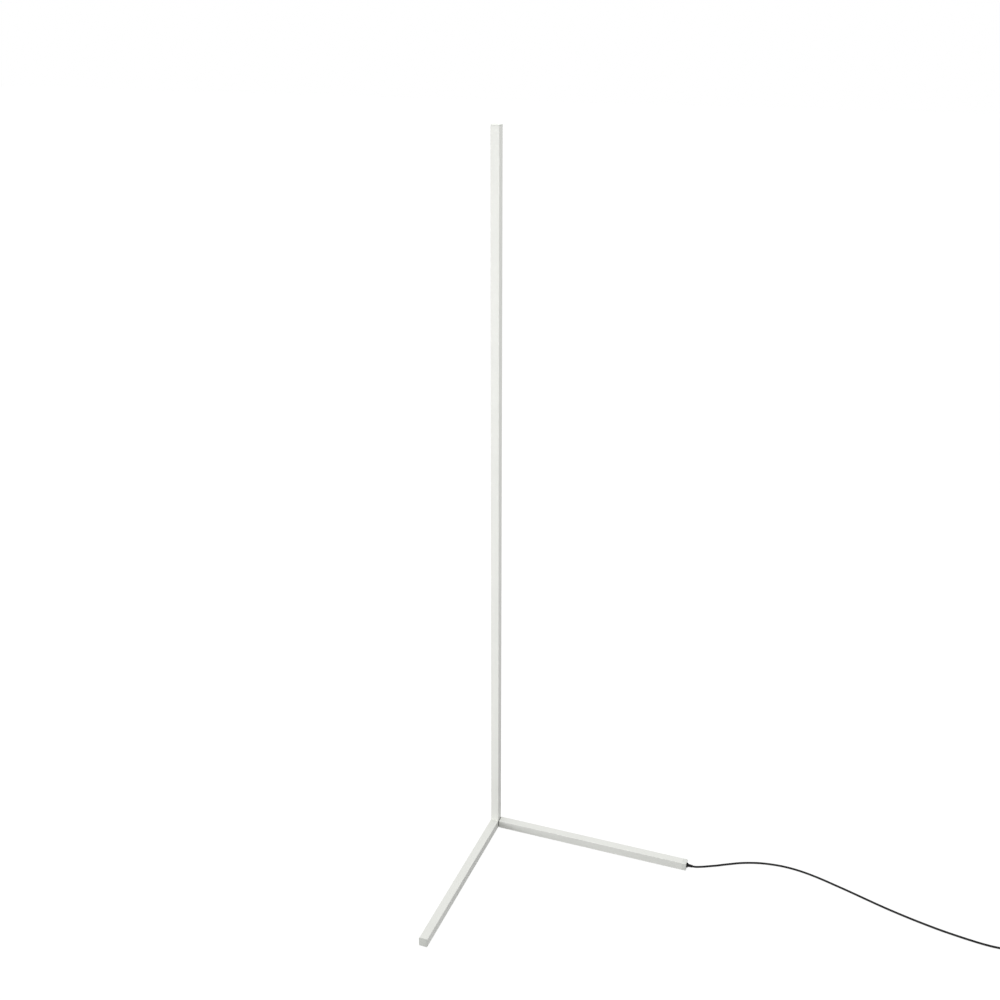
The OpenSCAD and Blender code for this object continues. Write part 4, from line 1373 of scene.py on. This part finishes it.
@dataclass
class FreeLead(SubAssembly):
    """The low-voltage lead from the relief's tip to the adapter."""

    goes_with: list[Object]  # the pieces on it
    tip: float = 414.0  # where the relief ends along X
    lead: float = 2.0  # radius of the lead
    height: float = 9.0  # height of the outlet's axis
    entry: float = 6.0  # height of the switch's axis
    # Points from the tip: along X, along Y, and the share of the outlet's height still to fall.
    fall: tuple[Point, ...] = (
        (0, 0, 1), (3, 0.1, 1), (7, 1.1, 0.98), (13, 4, 0.92), (22, 10, 0.72), (32, 18, 0.44),
        (43, 26, 0.19), (56, 35, 0.06), (71, 44, 0), (86, 52, 0), (103, 59, 0), (122, 65, 0),
        (143, 69, 0), (166, 71, 0), (190, 70, 0), (215, 66, 0), (242, 59, 0), (270, 50, 0),
        (300, 40, 0), (331, 29, 0), (363, 18, 0), (396, 8, 0), (430, -1, 0), (465, -9, 0), (500, -15, 0),
    )
    # Points up into the switch, with the share of its axis's height already risen.
    rise: tuple[Point, ...] = (
        (530, -19, 0), (553, -21, 0.1), (573, -22, 0.5), (584, -22, 0.9), (590, -22, 1), (604, -22, 1),
    )
    dip: Point = (1034, -22, 4.8)  # inside the switch, low enough to clear the pressed button
    # Points from the switch to the coil, and from the coil into the adapter.
    link: tuple[Point, ...] = (
        (1050, -22, 6.0), (1064, -22, 6.0), (1072, -22, 5.6), (1082, -22, 4.4), (1092, -22, 3.1),
    )
    tail: tuple[Point, ...] = (
        (1128, -57, 11.1), (1128, -68, 12.08), (1128, -79, 13.68), (1128, -87, 14.0),
        (1128, -107, 14.0), (1128, -113, 14.0),
    )
    coil: tuple[float, float] = (1104.0, -46.0)  # middle of the coil
    radii: tuple[float, ...] = (16.0, 20.0, 24.0)  # of the coil's turns, from the inside
    layers: tuple[float, ...] = (2.8, 6.8, 10.8)  # heights of the coil's turns, from below
    # The way of the turns, as (place across, layer).
    slots: tuple[tuple[int, int], ...] = (
        (2, 0), (1, 0), (0, 0), (0, 1), (0, 2), (1, 2), (1, 1), (2, 1), (2, 2),
    )
    whole: float = 8.25  # number of turns
    per_turn: int = 48  # number of points in each
    change: float = 130.0  # over how many degrees a turn goes over to its next slot
    stagger: float = 30.0  # how much earlier each later turn does so, to leave its place free
    length: float = 1.8  # the lead's whole length, in metres

    def turns(self) -> list[Vector]:
        """The coil's turns, clockwise seen from above, each going over to its next slot.

        Returns:
            Points from the coil's entry at +Y to its way out at +X.
        """
        points, last, round_ = [], len(self.slots) - 1, 360
        for step in range(int(self.whole * self.per_turn) + 1):
            way = step / self.per_turn * round_
            number = min(int(way // round_), last)
            begin = round_ - self.change - self.stagger * number
            share = min(1.0, max(0.0, (way - number * round_ - begin) / self.change))
            share = share * share * (3 - 2 * share) if number < last else 0.0
            here, there = self.slots[number], self.slots[min(number + 1, last)]
            radius, level = (sizes[a] + share * (sizes[b] - sizes[a])
                             for sizes, a, b in zip((self.radii, self.layers), here, there))
            bearing = math.radians(90 - way)
            x, y = self.coil[0] + radius * math.cos(bearing), self.coil[1] + radius * math.sin(bearing)
            points.append(Vector((x, y, level)))
        return points

    def route(self) -> list[Vector]:
        """The lead's whole middle line.

        Returns:
            Points from inside the relief's tip to inside the adapter.
        """
        slopes = ((self.height, self.fall), (self.entry, self.rise))
        run = [(self.tip + x, y, self.lead + (high - self.lead) * share)
               for high, points in slopes for x, y, share in points]
        turns = self.turns()
        first = smooth_route([*run, self.dip, *self.link, turns[0], turns[2]], 4)[:-5]
        last = smooth_route([turns[-3], turns[-1], *self.tail], 5)[6:]
        line = [Vector((p.x, p.y, max(p.z, self.lead))) for p in [*first, *turns, *last]]
        return [Vector((self.tip - 1.5, 0, self.height)), *line]

    def build(self) -> None:
        line, stands_for = self.route(), ("lead_run", "lead_link", "lead_coil", "lead_tail")
        tube = self.keep("free_lead", swept(line, self.lead), LEAD_JACKET, "lead_jacket", *stands_for)


# ---------------------------------------------------------------- the studio


@dataclass
class Softbox:
    """One rectangular lamp, in metres and watts."""

    name: str
    at: Point
    aim: Point  # the point that it faces
    size: tuple[float, float]
    power: float

    def build(self) -> None:
        """Puts the lamp in the scene."""
        light = bpy.data.lights.new(self.name, "AREA")
        light.shape, light.size, light.size_y, light.energy = "RECTANGLE", *self.size, self.power
        lamp = in_scene(self.name, light)
        lamp.location = self.at
        lamp.rotation_euler = (Vector(self.aim) - Vector(self.at)).to_track_quat("-Z", "Y").to_euler()
        lamp.visible_camera = False


@dataclass
class Studio:
    """Camera, pale floor, white surroundings and soft lamps, in metres."""

    eye: Point = (0.7282, -1.9541, 1.5775)  # the camera's place
    pitch: float = 22.108  # how far it looks down, in degrees
    yaw: float = 20.249  # how far it is turned to the left of +Y, in degrees
    roll: float = 0.113  # its tilt, in degrees
    lens: float = 43.592  # focal length on a 36 mm sensor, in millimetres
    ambient: float = 0.61  # brightness of the surroundings as a light
    flag_middle: tuple[float, float] = (0.5, 0.06)  # middle of the floor that bounces less light
    flag: tuple[float, float] = (0.42, 0.8)  # how far from there the floor begins and ends to brighten
    floor_near: float = 0.08  # the floor's tone near the lamp, for light that bounces
    floor_far: float = 0.6  # its tone far from the lamp
    floor_shade: float = 0.16  # its tone to look at, which takes the shadow, on top of floor_glow
    floor_glow: float = 0.915  # how much it glows to look at
    floor_reach: float = 20.0  # how far it reaches to each side
    lamps: tuple[Softbox, ...] = (
        Softbox("front_softbox", (-0.9, -4.0, 0.3), (0.0, 0.0, 0.3), (2.4, 0.6), 66.0),
        Softbox("top_softbox", (0.0, 0.3, 3.2), (0.1, 0.0, 0.0), (2.4, 2.4), 32.0),
        Softbox("right_softbox", (1.5, 0.3, 1.3), (0.0, 0.0, 1.0), (0.8, 0.8), 2.3),
    )

    def camera(self) -> None:
        """Makes the camera at the photograph's viewing angle."""
        pitch, yaw, roll = (math.radians(a) for a in (self.pitch, self.yaw, self.roll))
        ahead = Vector((-math.sin(yaw) * math.cos(pitch), math.cos(yaw) * math.cos(pitch), -math.sin(pitch)))
        right = Vector((math.cos(yaw), math.sin(yaw), 0.0))
        up = right.cross(ahead)
        side = math.cos(roll) * right + math.sin(roll) * up
        top = -math.sin(roll) * right + math.cos(roll) * up
        data = bpy.data.cameras.new("camera")
        data.lens, data.sensor_width, data.clip_end = self.lens, 36.0, 60.0
        camera = in_scene("camera", data)
        turn = Matrix((side, top, -ahead)).transposed().to_4x4()
        camera.matrix_world = Matrix.Translation(Vector(self.eye)) @ turn
        bpy.context.scene.camera = camera

    def two_ways(self, n: Nodes, as_light: Socket, to_look_at: Socket) -> Socket:
        """Joins two shaders: one for the light that it gives, the other to look at.

        Args:
            n: the node tree of both.
            as_light: the shader for light that bounces.
            to_look_at: the shader for the camera, reflections and glass.

        Returns:
            The joined shader.
        """
        ray = n.add("ShaderNodeLightPath").outputs
        seen = ray["Is Camera Ray"]
        for label in ("Is Glossy Ray", "Is Transmission Ray"):
            seen = n.out("ShaderNodeMath", {0: seen, 1: ray[label]}, operation="MAXIMUM")
        return n.out("ShaderNodeMixShader", {0: seen, 1: as_light, 2: to_look_at})

    def surroundings(self) -> None:
        """White to look at, and a plain soft grey as a light."""
        world = bpy.data.worlds.new("surroundings")
        bpy.context.scene.world = world
        world.use_nodes = True
        n = Nodes(world.node_tree)
        grey, white = (n.out("ShaderNodeBackground", {"Color": (1, 1, 1, 1), "Strength": strength})
                       for strength in (self.ambient, 1.0))
        n.add("ShaderNodeOutputWorld", {"Surface": self.two_ways(n, grey, white)})

    def floor(self) -> None:
        """A plain pale floor: it looks white with a faint shadow, and bounces less near the lamp."""
        material = bpy.data.materials.new("pale_floor")
        material.use_nodes = True
        n = Nodes(material.node_tree)
        here = n.add("ShaderNodeTexCoord").outputs["Object"]
        away = n.out("ShaderNodeVectorMath", {0: here, 1: (*self.flag_middle, 0.0)}, operation="SUBTRACT")
        far = n.add("ShaderNodeVectorMath", {0: away}, operation="LENGTH").outputs["Value"]
        tone = n.spread(far, *self.flag, self.floor_near, self.floor_far)
        plain = n.out("ShaderNodeBsdfDiffuse", {"Color": tone})
        shade = n.out("ShaderNodeBsdfDiffuse", {"Color": (*[self.floor_shade] * 3, 1)})
        glow = n.out("ShaderNodeEmission", {"Strength": self.floor_glow})
        seen = n.out("ShaderNodeAddShader", {0: glow, 1: shade})
        n.add("ShaderNodeOutputMaterial", {"Surface": self.two_ways(n, plain, seen)})
        mesh, side = bpy.data.meshes.new("floor"), self.floor_reach
        corners = [(x * side, y * side, 0) for x, y in ((-1, -1), (1, -1), (1, 1), (-1, 1))]
        mesh.from_pydata(corners, [], [(0, 1, 2, 3)])
        mesh.materials.append(material)
        in_scene("floor", mesh)

    def build(self) -> None:
        """Sets up everything that isn't the lamp."""
        bpy.context.scene.view_settings.view_transform = "Standard"
        self.camera()
        self.surroundings()
        self.floor()
        for lamp in self.lamps:
            lamp.build()


def main() -> None:
    """Builds the studio and the lamp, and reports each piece."""
    logging.basicConfig(level=logging.INFO, format="%(name)s %(message)s")
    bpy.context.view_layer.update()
    Studio().build()
    on_lead = (InlineSwitch(), PlugAdapter(), CoilTie())
    for part in on_lead:
        part.build()
    lead = FreeLead([piece for part in on_lead for piece in part.made])
    others = (lead, LampFrame(), CornerJoint(), LightStrip(), Outlet())
    for part in others:
        part.build()
    for part in (*on_lead, *others):
        for piece in part.made:
            LOG.info("%s: %s", type(part).__name__, piece.name)


if __name__ == "__main__":
    main()
